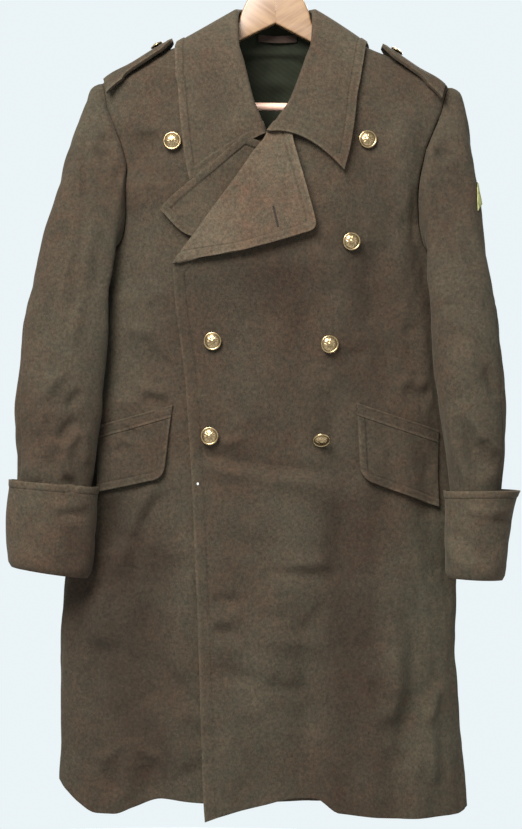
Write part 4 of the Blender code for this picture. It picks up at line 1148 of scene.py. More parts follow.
def strap_point(side, along, across, lift=0.0):
    """Middle of a strap's wall: along 0 the free tip to 1 the sleeve seam."""
    tip, end = STRAP[side]
    x = tip + along * (end - tip) - STRAP_SLANT * (along * across) ** 2
    half = STRAP_HALF * np.minimum(
        1.0, 0.45 + 0.55 * np.sqrt(np.minimum(1.0, along * (end - tip) / 14.0)))
    y = across * half * (1.0 - STRAP_TAPER * along ** 2) - STRAP_SHIFT * along ** 2
    raised = STRAP_CLEAR + STRAP_RISE * (1.0 - ramp(along, 0.0, 0.75))
    raised = raised - STRAP_DIP * along ** 6
    drop = STRAP_DROP * (1.0 + along ** 2) * across ** 2
    crown = shoulder_height(x, 0.0 * x)
    z = np.maximum(shoulder_height(x, 0.8 * y), crown - drop) + raised + lift
    return stacked(side * x, y, z)


def lining_point(x, z, lift=0.0):
    """Face of the lining towards the back; lift moves it that way."""
    level = np.minimum(z + LINING_RAISED, LINING_LEVEL)
    point = skin(180.0 - angle_at(x, level), level, -CLOTH - LINING_GAP)
    free = STAND_INSIDE.at("y", np.abs(x)) + LINING_SLOPE * np.maximum(0.0, LINING_BEND - z)
    return stacked(x, np.minimum(point[..., 1], free) + lift, z)


# ---- shells of cloth

def edge_stops(inset):
    """Distances from a stitched edge where a grid has its lines."""
    return np.array([0.0, 2.0, 4.0, inset - 5.5, inset - 3.4, inset - 2.0, inset - 1.0, inset,
                     inset + 1.0, inset + 2.0, inset + 3.6, inset + 6.0])


def shares(lengths, count, start=None, end=None):
    """Shares along rows of given lengths, closer where an edge is stitched at an inset."""
    lengths = np.atleast_1d(np.asarray(lengths, float))[:, None]
    first = edge_stops(start)[None, :] if start else np.zeros((1, 1))
    last = edge_stops(end)[None, ::-1] if end else np.zeros((1, 1))
    room = np.minimum(1.0, 0.8 * lengths / np.maximum(first.max() + last.max(), 1e-6))
    first = first * room / lengths
    last = 1.0 - last * room / lengths
    steps = np.linspace(0.0, 1.0, count + 1)[None, 1:-1]
    middle = first[:, -1:] + (last[:, :1] - first[:, -1:]) * steps
    return np.concatenate([first, middle, last], axis=1)


def crosswise(count):
    """Even shares along a row of a grid."""
    return np.linspace(0.0, 1.0, count)[None, :]


def lengthwise(count):
    """Even shares from the first row of a grid to the last."""
    return np.linspace(0.0, 1.0, count)[:, None]


def distances(points, axis=0):
    """Distance of each point from the start of its line, along an axis of the grid."""
    run = np.cumsum(np.linalg.norm(np.diff(points, axis=axis), axis=-1), axis=axis)
    return np.concatenate([np.zeros_like(run.take([0], axis)), run], axis=axis)


def run_lengths(points, axis):
    """Lengths of the lines of a grid of points along an axis."""
    return np.linalg.norm(np.diff(points, axis=axis), axis=-1).sum(axis=axis)


def grid_normals(face):
    return unit(np.cross(np.gradient(face, axis=1), np.gradient(face, axis=0)))


def fine_line(line):
    """Closely spaced points of a line and their distance along it."""
    run = distances(line)
    steps = np.linspace(0.0, run[-1], max(int(run[-1] / FINE_STEP), 2))
    return np.stack([np.interp(steps, run, line[:, axis]) for axis in range(3)], axis=1), steps


def edge_distance(face, borders):
    """Distance of every grid point from the nearest named border, and its place along it."""
    lines = {"u0": face[:, 0], "u1": face[:, -1], "v0": face[0], "v1": face[-1]}
    gap = np.full(face.shape[:2], 1000.0)
    run = np.zeros(face.shape[:2])
    for border in borders:
        points, steps = fine_line(lines[border])
        for row in range(face.shape[0]):
            away = np.linalg.norm(face[row][:, None, :] - points[None, :, :], axis=-1)
            nearest = away.argmin(axis=1)
            close = away[np.arange(len(nearest)), nearest]
            better = close < gap[row]
            run[row] = np.where(better, steps[nearest], run[row])
            gap[row] = np.minimum(gap[row], close)
    return gap, run


def margin(gap, inset, puff):
    """Relief of a padded margin inside its row of stitches."""
    raised = 1.0 - ramp(gap, inset - 2.0, inset + 3.5)
    return puff * (raised - 0.95 * np.exp(-((gap - inset) / 1.35) ** 2))


def sheet_of(columns, rows):
    """A single flat grid: x and y tell column and row."""
    shape = bmesh.new()
    bmesh.ops.create_grid(shape, x_segments=columns, y_segments=rows, size=1.0)
    return shape


def thicken(shape, vec):
    """Copy the faces along a vector and join the copy to them at the rim."""
    new = bmesh.ops.extrude_face_region(shape, geom=list(shape.faces), use_keep_orig=True)
    moved = [part for part in new["geom"] if isinstance(part, bmesh.types.BMVert)]
    bmesh.ops.translate(shape, vec=vec, verts=moved)
    bmesh.ops.recalc_face_normals(shape, faces=shape.faces)


def slab(columns, rows):
    """Two flat grids joined at the rim; z tells the face."""
    shape = sheet_of(columns, rows)
    thicken(shape, (0.0, 0.0, -1.0))
    return shape


def shaped(name, shape, outer, inner, gap, run):
    """Mesh whose flat grid points are moved to their places, with the edge attributes."""
    mesh = bpy.data.meshes.new(name)
    shape.to_mesh(mesh)
    shape.free()
    flat = np.empty(3 * len(mesh.vertices), np.float32)
    mesh.vertices.foreach_get("co", flat)
    flat = flat.reshape(-1, 3)
    rows, columns = outer.shape[:2]
    column = np.rint(0.5 * (flat[:, 0] + 1.0) * (columns - 1)).astype(int)
    row = np.rint(0.5 * (flat[:, 1] + 1.0) * (rows - 1)).astype(int)
    on_outer = flat[:, 2] > -0.5
    places = np.where(on_outer[:, None], outer[row, column], inner[row, column]) * MM
    mesh.vertices.foreach_set("co", places.astype(np.float32).ravel())
    for label, grid in (("edge_gap", gap), ("edge_run", run)):
        layer = mesh.attributes.new(label, "FLOAT", "POINT")
        values = np.where(on_outer, grid[row, column] * MM, 1.0)
        layer.data.foreach_set("value", values.astype(np.float32))
    corner = np.empty(len(mesh.loops), np.int32)
    mesh.loops.foreach_get("vertex_index", corner)
    across, up = distances(outer, 1) * MM, distances(outer, 0) * MM
    spot = np.stack([across[row, column], up[row, column]], axis=1)[corner]
    mesh.uv_layers.new(name="Cloth").data.foreach_set("uv", spot.astype(np.float32).ravel())
    return mesh


def linked(name, mesh, material):
    mesh.shade_smooth()
    mesh.materials.append(material)
    thing = bpy.data.objects.new(name, mesh)
    bpy.context.scene.collection.objects.link(thing)
    return thing


def round_edges(thing, width, segments=2):
    bevel = thing.modifiers.new("Rounded edges", "BEVEL")
    bevel.width = width * MM
    bevel.segments = segments
    bevel.limit_method = "ANGLE"
    bevel.angle_limit = math.radians(60.0)


def cloth(name, outer, inner, material, sewn=(), seams=(), inset=12.0, puff=0.9):
    """A shell between two grids of points, with stitched margins and tucked-in seams."""
    wall = float(np.median(np.linalg.norm(outer - inner, axis=-1)))
    gap, run = edge_distance(0.5 * (outer + inner), sewn)
    relief = margin(gap, inset, puff)
    if seams:
        relief = relief - SEAM_DIP * np.exp(-(edge_distance(outer, seams)[0] / SEAM_REACH) ** 2)
    normal = grid_normals(outer)
    if float(np.sum(normal * (outer - inner))) < 0.0:
        normal = -normal
    shape = slab(outer.shape[1] - 1, outer.shape[0] - 1)
    mesh = shaped(name, shape, outer + normal * relief[..., None], inner, gap, run)
    turned = bmesh.new()
    turned.from_mesh(mesh)
    if turned.calc_volume(signed=True) < 0.0:
        bmesh.ops.reverse_faces(turned, faces=turned.faces)
        turned.to_mesh(mesh)
    turned.free()
    thing = linked(name, mesh, material)
    round_edges(thing, ROUND_EDGE * wall)
    return thing


def folded_cloth(name, middle, wall, ahead, material, **stitching):
    """A shell on both sides of a middle grid; ahead is where the edge's outer face looks."""
    normal = grid_normals(middle)
    if float(dot(normal[-1, normal.shape[1] // 3], np.array(ahead))[0]) < 0.0:
        normal = -normal
    return cloth(name, middle + 0.5 * wall * normal, middle - 0.5 * wall * normal, material,
                 **stitching)


def cloth_tube(name, face, wall, material, sewn, inset, puff):
    """A closed ring of cloth; the first and last columns of its grid coincide."""
    gap, run = edge_distance(face, sewn)
    across = np.gradient(face, axis=1)
    across[:, 0] = across[:, -1] = face[:, 1] - face[:, -2]
    normal = unit(np.cross(across, np.gradient(face, axis=0)))
    centre = face.mean(axis=1, keepdims=True)
    if float(np.sum(normal * (face - centre))) < 0.0:
        normal = -normal
    raised = face + normal * margin(gap, inset, puff)[..., None]
    raised[:, -1] = raised[:, 0]
    mesh = shaped(name, sheet_of(face.shape[1] - 1, face.shape[0] - 1), raised, raised, gap, run)
    joined = bmesh.new()
    joined.from_mesh(mesh)
    bmesh.ops.remove_doubles(joined, verts=joined.verts, dist=1e-6)
    bmesh.ops.recalc_face_normals(joined, faces=joined.faces)
    joined.faces.ensure_lookup_table()
    first = joined.faces[0]
    away = first.calc_center_median() - Vector(centre[0, 0] * MM)
    if first.normal.dot(away) < 0.0:
        bmesh.ops.reverse_faces(joined, faces=joined.faces)
    joined.to_mesh(mesh)
    joined.free()
    thing = linked(name, mesh, material)
    solid = thing.modifiers.new("Wall", "SOLIDIFY")
    solid.thickness = wall * MM
    solid.offset = -1.0
    solid.use_even_offset = True
    round_edges(thing, ROUND_EDGE * wall)
    return thing


# ---- cutting the pieces

def panel_rows(lower, upper):
    """Rows of a front or the back: so many below the underarm and so many above it."""
    return np.concatenate([np.linspace(0.0, 1.0, lower),
                           np.linspace(1.0, TOP_V, upper)[1:]])[:, None]


def front_grid(side, margin_inset):
    """Outer and inner face of a front."""
    v = panel_rows(181, 91)
    rough = front_point(side, crosswise(40), v)
    u = PANEL_SHARE * shares(run_lengths(rough, 1), 84, start=margin_inset)
    return front_point(side, u, v), front_point(side, u, v, -CLOTH)


def back_grid():
    v = panel_rows(141, 81)
    u = PANEL_SHARE * (1.0 - 2.0 * crosswise(111))
    return back_point(u, v), back_point(u, v, -CLOTH)


def sleeve_grid(side, under):
    """Outer and inner face of the top or under piece of a sleeve."""
    rings = np.linspace(0.0, 10.0, 160)
    line = sleeve_plain(side, np.full(160, FRONT_TURN), rings)
    run = distances(line)
    ring = np.interp(np.linspace(0.0, run[-1], 161), run, rings)[:, None]
    columns = 48 if under else 64
    share = crosswise(columns + 1)
    shift = hind_seam(ring) - HIND_SEAM[0]
    if under:
        turn = FORE_SEAM + (360.0 + HIND_SEAM[0] - FORE_SEAM) * share + shift * share
    else:
        turn = HIND_SEAM[0] + (FORE_SEAM - HIND_SEAM[0]) * share + shift * (1.0 - share)
    turn = turn + SEAM_TRIM * (1.0 - 2.0 * share)
    return sleeve_point(side, turn, ring), sleeve_point(side, turn, ring, -CLOTH)


def allowance_grid(side):
    """The turned-in seam allowance that lies under an armhole seam."""
    turn = np.linspace(0.0, 359.0, 91)[None, :]
    seam = armhole_point(side, turn)
    ahead = unit(armhole_point(side, turn + 1.0) - armhole_point(side, turn - 1.0))
    normal = outward(armhole_angle(side, turn), armhole_z(turn))
    across = unit(np.cross(ahead, normal))
    towards = sleeve_plain(side, turn, 0.0 * turn + 0.6) - seam
    across = across * np.where(dot(across, towards) < 0.0, -1.0, 1.0)
    spread = ALLOWANCE * np.linspace(-1.0, 1.0, 9)[:, None, None]
    middle = seam + across * spread
    return tuple(middle - normal * (CLOTH + depth) for depth in ALLOWANCE_FACES)


def cuff_grid(side):
    turn = side * np.linspace(0.0, 360.0, 121)[None, :]
    rough = cuff_point(side, FRONT_TURN, 6.0 * np.linspace(0.0, 1.0, 40))
    run = distances(rough)
    even = shares(run[-1:], 26, end=CUFF_INSET)[0]
    row = 6.0 * np.interp(even, run / run[-1], np.linspace(0.0, 1.0, 40))[:, None]
    return cuff_point(side, turn, row)


def fold_rows(place, columns, inset, count=14):
    """Rows of a folded piece for each of its columns: seam, round fold, then the fall."""
    rough = place(columns, np.linspace(FOLD_END, 1.0, 30)[:, None])
    fall = shares(run_lengths(rough, 0), count, end=inset).T
    start = np.concatenate([np.linspace(0.0, FOLD_START, 4),
                            np.linspace(FOLD_START, FOLD_END, 10)[1:]])[:, None]
    start = np.broadcast_to(start, (start.shape[0], fall.shape[1]))
    return np.concatenate([start, FOLD_END + (1.0 - FOLD_END) * fall[1:]], axis=0)


def collar_grid(inset):
    rough = collar_point(np.linspace(0.0, 24.0, 120), np.ones(120))
    station = 24.0 * shares([run_lengths(rough, 0)], 150, start=inset, end=inset)
    rows = fold_rows(collar_point, station, inset, 20)
    return collar_point(np.broadcast_to(station, rows.shape), rows)


def lapel_grid(side, inset):
    last = LAST_ROW[side]
    row = np.concatenate([np.linspace(0.0, 1.0, 27),
                          np.linspace(1.0, last, int(last - 1.0) * 13 + 1)[1:]])[None, :]

    def place(station, across):
        station, across = np.broadcast_arrays(station, across)
        return lapel_point(side, station, across)

    points = place(row, fold_rows(place, row, inset, 24))
    if side > 0:
        tucked = (np.clip(1.0 - row / 0.5, 0.0, 1.0) ** 2)[..., None]
        points = points + tucked * np.array(GORGE_TUCK)
    return points


def gorge_grid():
    """The facing that fills the gorge between the right lapel and the collar."""
    share = crosswise(31)
    outer, inner, z = (top + fall * lengthwise(31) for top, fall in zip(GORGE_TOP, GORGE_FALL))
    x = inner + (outer - inner) * share
    return tuple(skin_at(x, z + 0.0 * share, lift) for lift in GORGE_FACES)


def welt_grid(side):
    u, v = crosswise(60), lengthwise(22)
    down = WELT_TOP - v * WELT_HEIGHT + 0.0 * u
    return tuple(pocket_point(side, u + 0.0 * v, down, lift) for lift in WELT_FACES)


def flap_grid(side, inset):
    """Outer and inner face of a pocket flap, its inner lower corner rounded."""
    corners = [np.array(corner) for corner in POCKET[side]]
    length = float(np.linalg.norm(corners[1] - corners[0]))
    inner_drop = float(np.linalg.norm(corners[2] - corners[0]))
    outer_drop = float(np.linalg.norm(corners[3] - corners[1]))
    u = shares([length], 40, start=inset)
    v = shares([inner_drop], 26, start=inset).T
    drop = inner_drop + u * (outer_drop - inner_drop)
    across, up = u * length + 0.0 * v, v * drop
    away_x, away_y = across - FLAP_CORNER, up - FLAP_CORNER
    reach = np.maximum(-away_x, -away_y) / np.maximum(np.hypot(away_x, away_y), 1e-6)
    corner = (away_x < 0.0) & (away_y < 0.0)
    across = np.where(corner, FLAP_CORNER + away_x * reach, across)
    up = np.where(corner, FLAP_CORNER + away_y * reach, up)
    stand = FLAP_STAND[0] + FLAP_STAND[1] * np.clip(1.0 - up / drop, 0.0, 1.0) ** 1.5
    return (pocket_point(side, across / length, drop - up, stand),
            pocket_point(side, across / length, drop - up, stand - CLOTH))


def strap_grid(side, inset):
    tip, end = STRAP[side]
    along = shares([end - tip], 34, start=inset)
    across = 2.0 * shares([2.0 * STRAP_HALF], 16, start=inset, end=inset).T - 1.0
    return strap_point(side, along + 0.0 * across, across + 0.0 * along)


def lining_grid():
    x = LINING_HALF * np.linspace(1.0, -1.0, 91)[None, :]
    v = lengthwise(91)
    top = LINING_TOP.at("z", np.abs(x))
    z = top + (1.0 - v) ** 1.5 * (LINING_FOOT - top)
    ripple = 0.5 * unevenness(x, z, 41)
    return (lining_point(x + 0.0 * v, z, ripple - LINING), lining_point(x + 0.0 * v, z, ripple))


def loop_grid():
    u, v = crosswise(41), lengthwise(11)
    bend = np.sin(math.pi * u)
    x = LOOP_START - LOOP_RUN * u + 0.0 * v
    z = LOOP_FOOT - LOOP_SAG * bend + LOOP_HEIGHT * v
    lift = -LINING - LOOP_STAND[0] - LOOP_STAND[1] * bend
    return lining_point(x, z, lift - LOOP_WALL), lining_point(x, z, lift + 0.0 * v)


def badge_grid():
    turn = BADGE_TURN[0] + BADGE_TURN[1] * crosswise(41)
    ring = BADGE_RING[0] - BADGE_RING[1] * (1.0 - lengthwise(31))
    return tuple(sleeve_point(1, turn, ring, lift) for lift in BADGE_FACES)


# ---- materials

class Value:
    """A socket that can be reckoned with: each operation adds one Math node."""

    def __init__(self, tree, socket):
        self.tree = tree
        self.socket = socket

    def math(self, operation, *others, clamp=False):
        node = self.tree.nodes.new("ShaderNodeMath")
        node.operation = operation
        node.use_clamp = clamp
        for index, item in enumerate((self,) + others):
            if isinstance(item, Value):
                self.tree.links.new(item.socket, node.inputs[index])
            else:
                node.inputs[index].default_value = item
        return Value(self.tree, node.outputs[0])

    def __add__(self, other):
        return self.math("ADD", other)

    __radd__ = __add__

    def __sub__(self, other):
        return self.math("SUBTRACT", other)

    def __rsub__(self, other):
        return (self * -1.0) + other

    def __mul__(self, other):
        return self.math("MULTIPLY", other)

    __rmul__ = __mul__

    def __truediv__(self, other):
        return self.math("DIVIDE", other)

    def __rtruediv__(self, other):
        return self.math("POWER", -1.0) * other

    def ramp(self, start, end):
        """0 before start, 1 after end."""
        return ((self - start) / (end - start)).math("ADD", 0.0, clamp=True)

    def bell(self, middle, width):
        """1 at the middle, fading away on both sides."""
        away = (self - middle) / width
        return (away * away * -1.0).math("EXPONENT")


class Look:
    """A material made node by node around its Principled shader."""

    def __init__(self, name, roughness, metallic=0.0, specular=0.5):
        self.material = bpy.data.materials.new(name)
        self.material.use_nodes = True
        self.tree = self.material.node_tree
        self.shader = self.tree.nodes["Principled BSDF"]
        self.shader.inputs["Roughness"].default_value = roughness
        self.shader.inputs["Metallic"].default_value = metallic
        self.shader.inputs["Specular IOR Level"].default_value = specular
        self.place = self.node("ShaderNodeTexCoord").outputs["Object"]
        self.bumps = None

    def node(self, kind, inputs=None, **settings):
        """A new node with its settings, inputs given by name or number."""
        made = self.tree.nodes.new(kind)
        for key, value in settings.items():
            setattr(made, key, value)
        for key, value in (inputs or {}).items():
            if isinstance(value, Value):
                self.tree.links.new(value.socket, made.inputs[key])
            elif isinstance(value, bpy.types.NodeSocket):
                self.tree.links.new(value, made.inputs[key])
            else:
                made.inputs[key].default_value = value
        return made

    def value(self, socket):
        return Value(self.tree, socket)

    def mapped(self, turn=(0.0, 0.0, 0.0), scale=(1.0, 1.0, 1.0), source=None):
        """Coordinates turned and stretched."""
        turned = self.node("ShaderNodeMapping", {"Vector": source or self.place,
                                                 "Rotation": turn})
        return self.node("ShaderNodeMapping", {"Vector": turned.outputs[0],
                                               "Scale": scale}).outputs[0]

    def on_cloth(self):
        """Coordinates that follow the piece of cloth, in metres."""
        return self.node("ShaderNodeUVMap", uv_map="Cloth").outputs[0]

    def noise(self, size, detail=2.0, roughness=0.5, source=None, distortion=0.0):
        """Noise whose spots are about size millimetres wide."""
        made = self.node("ShaderNodeTexNoise", {
            "Vector": source or self.place, "Scale": 1000.0 / size, "Detail": detail,
            "Roughness": roughness, "Distortion": distortion})
        return self.value(made.outputs["Fac"])

    def axis(self, name):
        """One of the three coordinates, in metres."""
        made = self.node("ShaderNodeSeparateXYZ", {0: self.place})
        return self.value(made.outputs[name])

    def attribute(self, name):
        return self.value(self.node("ShaderNodeAttribute", attribute_name=name).outputs["Fac"])

    def mix(self, share, first, second):
        """Mix of two colours."""
        made = self.node("ShaderNodeMix", {0: share, 6: first, 7: second}, data_type="RGBA")
        return made.outputs[2]

    def shaded(self, colour, amount):
        """Colour made lighter or darker by an amount."""
        return self.node("ShaderNodeVectorMath", {0: colour, 3: amount},
                         operation="SCALE").outputs[0]

    def colour(self, socket):
        self.tree.links.new(socket, self.shader.inputs["Base Color"])

    def rough(self, amount):
        self.tree.links.new(amount.socket, self.shader.inputs["Roughness"])

    def bump(self, height, depth, strength=1.0):
        """Relief of a height, depth in millimetres."""
        inputs = {"Height": height, "Distance": depth * MM, "Strength": strength}
        if self.bumps is not None:
            inputs["Normal"] = self.bumps
        self.bumps = self.node("ShaderNodeBump", inputs).outputs["Normal"]

    def finish(self):
        if self.bumps is not None:
            self.tree.links.new(self.bumps, self.shader.inputs["Normal"])
        return self.material


def rgb(red, green, blue):
    return (red, green, blue, 1.0)


def chosen(name):
    """A colour of the coat's settings."""
    return rgb(*getattr(bpy.context.scene.greatcoat, name))


# Broad areas painted darker or paler into the wool's colour, placed one by one: partly the lie of
# the nap, partly painted shade and painted light of folds that are deeper than those made here.
# x, z, half width, half height, change of lightness
NAP_AND_PAINTED_SHADING_PATCHES = (
    (-200.0, -940.0, 90.0, 200.0, -0.45),
    (-150.0, -1120.0, 60.0, 60.0, -0.14),
    (-112.0, -900.0, 24.0, 190.0, 0.18),
    (-5.0, -490.0, 100.0, 65.0, -0.36),
    (118.0, -950.0, 48.0, 240.0, -0.38),
    (225.0, -1010.0, 45.0, 160.0, 0.34),
    (140.0, -480.0, 36.0, 130.0, -0.24),
    (285.0, -640.0, 45.0, 130.0, 0.12),
    (-120.0, -560.0, 45.0, 80.0, -0.14),
    (0.0, -645.0, 110.0, 50.0, -0.13),
    (246.0, -360.0, 40.0, 110.0, -0.16),
    (-88.0, -222.0, 36.0, 60.0, -0.28),
)


def wool(name, tone=1.0, warmth=0.0, inset=12.0, stitched=0.75):
    """Milled khaki wool: mottled, with flecks and a short nap, its rows of stitches, patches of
    painted shade and light, and edges paler from wear and a painted highlight.
    """
    look = Look(name, 0.95, specular=0.12)
    look.shader.inputs["Sheen Weight"].default_value = 0.05
    look.shader.inputs["Sheen Roughness"].default_value = 0.5
    look.shader.inputs["Sheen Tint"].default_value = rgb(0.60, 0.52, 0.38)
    mottle = look.noise(15.0, 4.0, 0.6, distortion=0.3)
    shade = look.noise(150.0, 2.0, 0.5)
    patch = look.noise(34.0, 3.0, 0.6, source=look.mapped(turn=(0.4, 0.9, 0.3)))
    fleck = look.noise(4.4, 3.0, 0.75)
    nap = look.noise(1.3, 3.0, 0.7, source=look.mapped(scale=(1.0, 1.0, 0.45)))
    red, green, blue, _ = chosen("wool_red")
    reddish = rgb(red + 0.001 * warmth, green, blue)
    # Random broad tone, then the patches of painted shade and light; darker places also turn
    # redder.
    nap_and_painted_shading = shade.ramp(0.3, 0.7) * 0.2 - 0.1
    across, upward = look.axis("X") * 1000.0, look.axis("Z") * 1000.0
    for x, z, wide, tall, change in NAP_AND_PAINTED_SHADING_PATCHES:
        nap_and_painted_shading = nap_and_painted_shading + across.bell(x, wide) * upward.bell(z, tall) * change
    warm = (mottle.ramp(0.34, 0.68) * 0.7 + 0.05 - nap_and_painted_shading * 1.3).math("ADD", 0.0, clamp=True)
    base = look.mix(warm, chosen("wool_green"), reddish)
    base = look.mix(patch.ramp(0.45, 0.75) * 0.35, base, rgb(0.0350, 0.0225, 0.0135))
    base = look.mix(shade.ramp(0.36, 0.62) * 0.45, base, rgb(0.0275, 0.0238, 0.0156))
    light = (1.0 + nap_and_painted_shading) * (0.92 + 0.16 * patch.ramp(0.3, 0.7))
    light = light * (0.62 + 0.76 * fleck.ramp(0.28, 0.72)) * (0.80 + 0.40 * nap.ramp(0.3, 0.7))
    gap = look.attribute("edge_gap") * 1000.0
    run = look.attribute("edge_run") * 1000.0
    line = gap.bell(inset, 1.1) * stitched
    thread = (run / STITCH_LENGTH).math("FRACT").bell(0.5, 0.34)
    # Paler along the edges: partly rubbed wear, partly a painted highlight on the rolled edge.
    worn_edge_and_painted_highlight = gap.bell(1.2, 2.4)
    light = light * (1.0 - 0.20 * line * (1.0 - 0.4 * thread)) * (1.0 + 0.30 * worn_edge_and_painted_highlight)
    look.colour(look.shaded(look.shaded(base, tone), light))
    look.bump(mottle, 0.8, 0.5)
    look.bump(fleck, 0.5, 0.6)
    look.bump(nap, 0.3, 0.7)
    look.bump(line * (thread * 0.45 - 1.0), 0.6, 0.8)
    return look.finish()


def twill(name, dark, pale, rib):
    """Ribbed woven cloth on the piece's own cloth coordinates."""
    look = Look(name, 0.85, specular=0.1)
    ribs = look.node("ShaderNodeTexWave", {
        "Vector": look.mapped(turn=(0.0, 0.0, math.radians(58.0)), source=look.on_cloth()),
        "Scale": 1000.0 / rib / 20.0, "Distortion": 0.4, "Detail": 1.0},
        wave_type="BANDS", bands_direction="X")
    weave = look.value(ribs.outputs["Fac"])
    cloud = look.noise(35.0, 3.0, 0.6)
    look.colour(look.shaded(look.mix(cloud.ramp(0.35, 0.7), dark, pale), 0.93 + 0.12 * weave))
    look.bump(weave, 0.15, 0.6)
    look.bump(cloud, 0.8, 0.3)
    return look.finish()


def gilt(name):
    """Gilt brass, darkened in its hollows and on its back: partly tarnish, partly painted shade.
    """
    look = Look(name, 0.26, metallic=1.0)
    hollow = look.attribute("hollow")
    tarnish = look.noise(2.4, 3.0, 0.6)
    spots = look.noise(7.0, 2.0, 0.5)
    bright = look.mix(spots.ramp(0.35, 0.7), chosen("gilt_bright"), rgb(0.25, 0.175, 0.088))
    # Near black in grooves, sunken relief and on the back: tarnish and painted shade together.
    tarnish_and_painted_shade = (hollow * 1.05 + 0.25 * tarnish.ramp(0.5, 0.8)).math("ADD", 0.0, clamp=True)
    look.colour(look.mix(tarnish_and_painted_shade, bright, rgb(0.030, 0.018, 0.008)))
    look.rough(0.22 + 0.30 * tarnish_and_painted_shade + 0.08 * tarnish)
    look.bump(tarnish, 0.06, 0.5)
    return look.finish()


def planed_wood(name, turn, pale, deep):
    """Pale varnished wood whose grain runs at an angle on the front."""
    look = Look(name, 0.38, specular=0.5)
    look.shader.inputs["Coat Weight"].default_value = 0.25
    look.shader.inputs["Coat Roughness"].default_value = 0.25
    along = look.mapped(turn=(0.0, turn, 0.0), scale=(0.09, 1.0, 1.0))
    grain = look.noise(5.0, 4.0, 0.62, source=along, distortion=0.5)
    pores = look.noise(1.1, 2.0, 0.6, source=look.mapped(turn=(0.0, turn, 0.0),
                                                         scale=(0.12, 1.0, 1.0)))
    cloud = look.noise(70.0, 2.0, 0.5)
    base = look.mix(grain.ramp(0.34, 0.68), pale, deep)
    look.colour(look.shaded(base, 0.92 + 0.14 * cloud - 0.10 * pores.ramp(0.58, 0.72)))
    look.rough(0.30 + 0.20 * pores)
    look.bump(grain, 0.10, 0.4)
    look.bump(pores, 0.05, 0.4)
    return look.finish()


def plated_steel(name):
    look = Look(name, 0.28, metallic=1.0)
    scuff = look.noise(3.0, 4.0, 0.6, source=look.mapped(scale=(1.0, 1.0, 0.25)))
    look.colour(look.mix(scuff.ramp(0.4, 0.75), rgb(0.66, 0.65, 0.62), rgb(0.40, 0.38, 0.35)))
    look.rough(0.20 + 0.25 * scuff)
    look.bump(scuff, 0.05, 0.3)
    return look.finish()


def embroidery(name):
    """Close satin stitches in pale yellow green."""
    look = Look(name, 0.62, specular=0.35)
    stitch = look.node("ShaderNodeTexWave", {
        "Vector": look.mapped(turn=(0.0, 0.0, 0.5), source=look.on_cloth()),
        "Scale": 45.0, "Distortion": 1.2, "Detail": 2.0}, wave_type="BANDS")
    lines = look.value(stitch.outputs["Fac"])
    cloud = look.noise(6.0, 2.0, 0.5)
    look.colour(look.shaded(look.mix(cloud.ramp(0.4, 0.6), rgb(0.26, 0.26, 0.09),
                                     rgb(0.18, 0.18, 0.06)), 0.72 + 0.4 * lines))
    look.bump(lines, 0.3, 0.8)
    return look.finish()


def plain(name, colour, roughness, spot, change):
    """A plain surface with a slight change of tone."""
    look = Look(name, roughness, specular=0.3)
    cloud = look.noise(spot, 3.0, 0.5)
    look.colour(look.shaded(look.mix(0.0, colour, colour), 1.0 - change + 2.0 * change * cloud))
    look.bump(cloud, 0.2, 0.3)
    return look.finish()


# ---- buttons, trim and hanger

# Half of a button from the back of its shank to the top of the dome: radius, height
BUTTON_SECTION = [
    (0.0, -0.22), (0.24, -0.22), (0.24, 0.0), (0.80, 0.0), (0.91, 0.02), (0.97, 0.06),
    (1.0, 0.12), (0.985, 0.18), (0.94, 0.235), (0.885, 0.25), (0.835, 0.235), (0.795, 0.20),
    (0.765, 0.185), (0.735, 0.205), (0.68, 0.26), (0.60, 0.315), (0.50, 0.365), (0.40, 0.40),
    (0.30, 0.425), (0.20, 0.445), (0.10, 0.457), (0.0, 0.46),
]
RIM_BEADS, LEAVES = 44, 10      # how many beads and leaves go round


def raised_work(share, turn):
    """Relief of the button's face: a beaded rim, a ring of leaves and a plain boss."""
    beads = 0.007 * math.cos(RIM_BEADS * turn) * math.exp(-((share - 0.90) / 0.035) ** 2)
    ring = math.exp(-((share - 0.50) / 0.13) ** 2)
    leaves = 0.052 * ring * (abs(math.cos(0.5 * LEAVES * turn + 5.0 * share)) - 0.62)
    boss = 0.05 * math.exp(-(share / 0.16) ** 4) - 0.04 * math.exp(-((share - 0.25) / 0.05) ** 2)
    return beads + leaves + boss


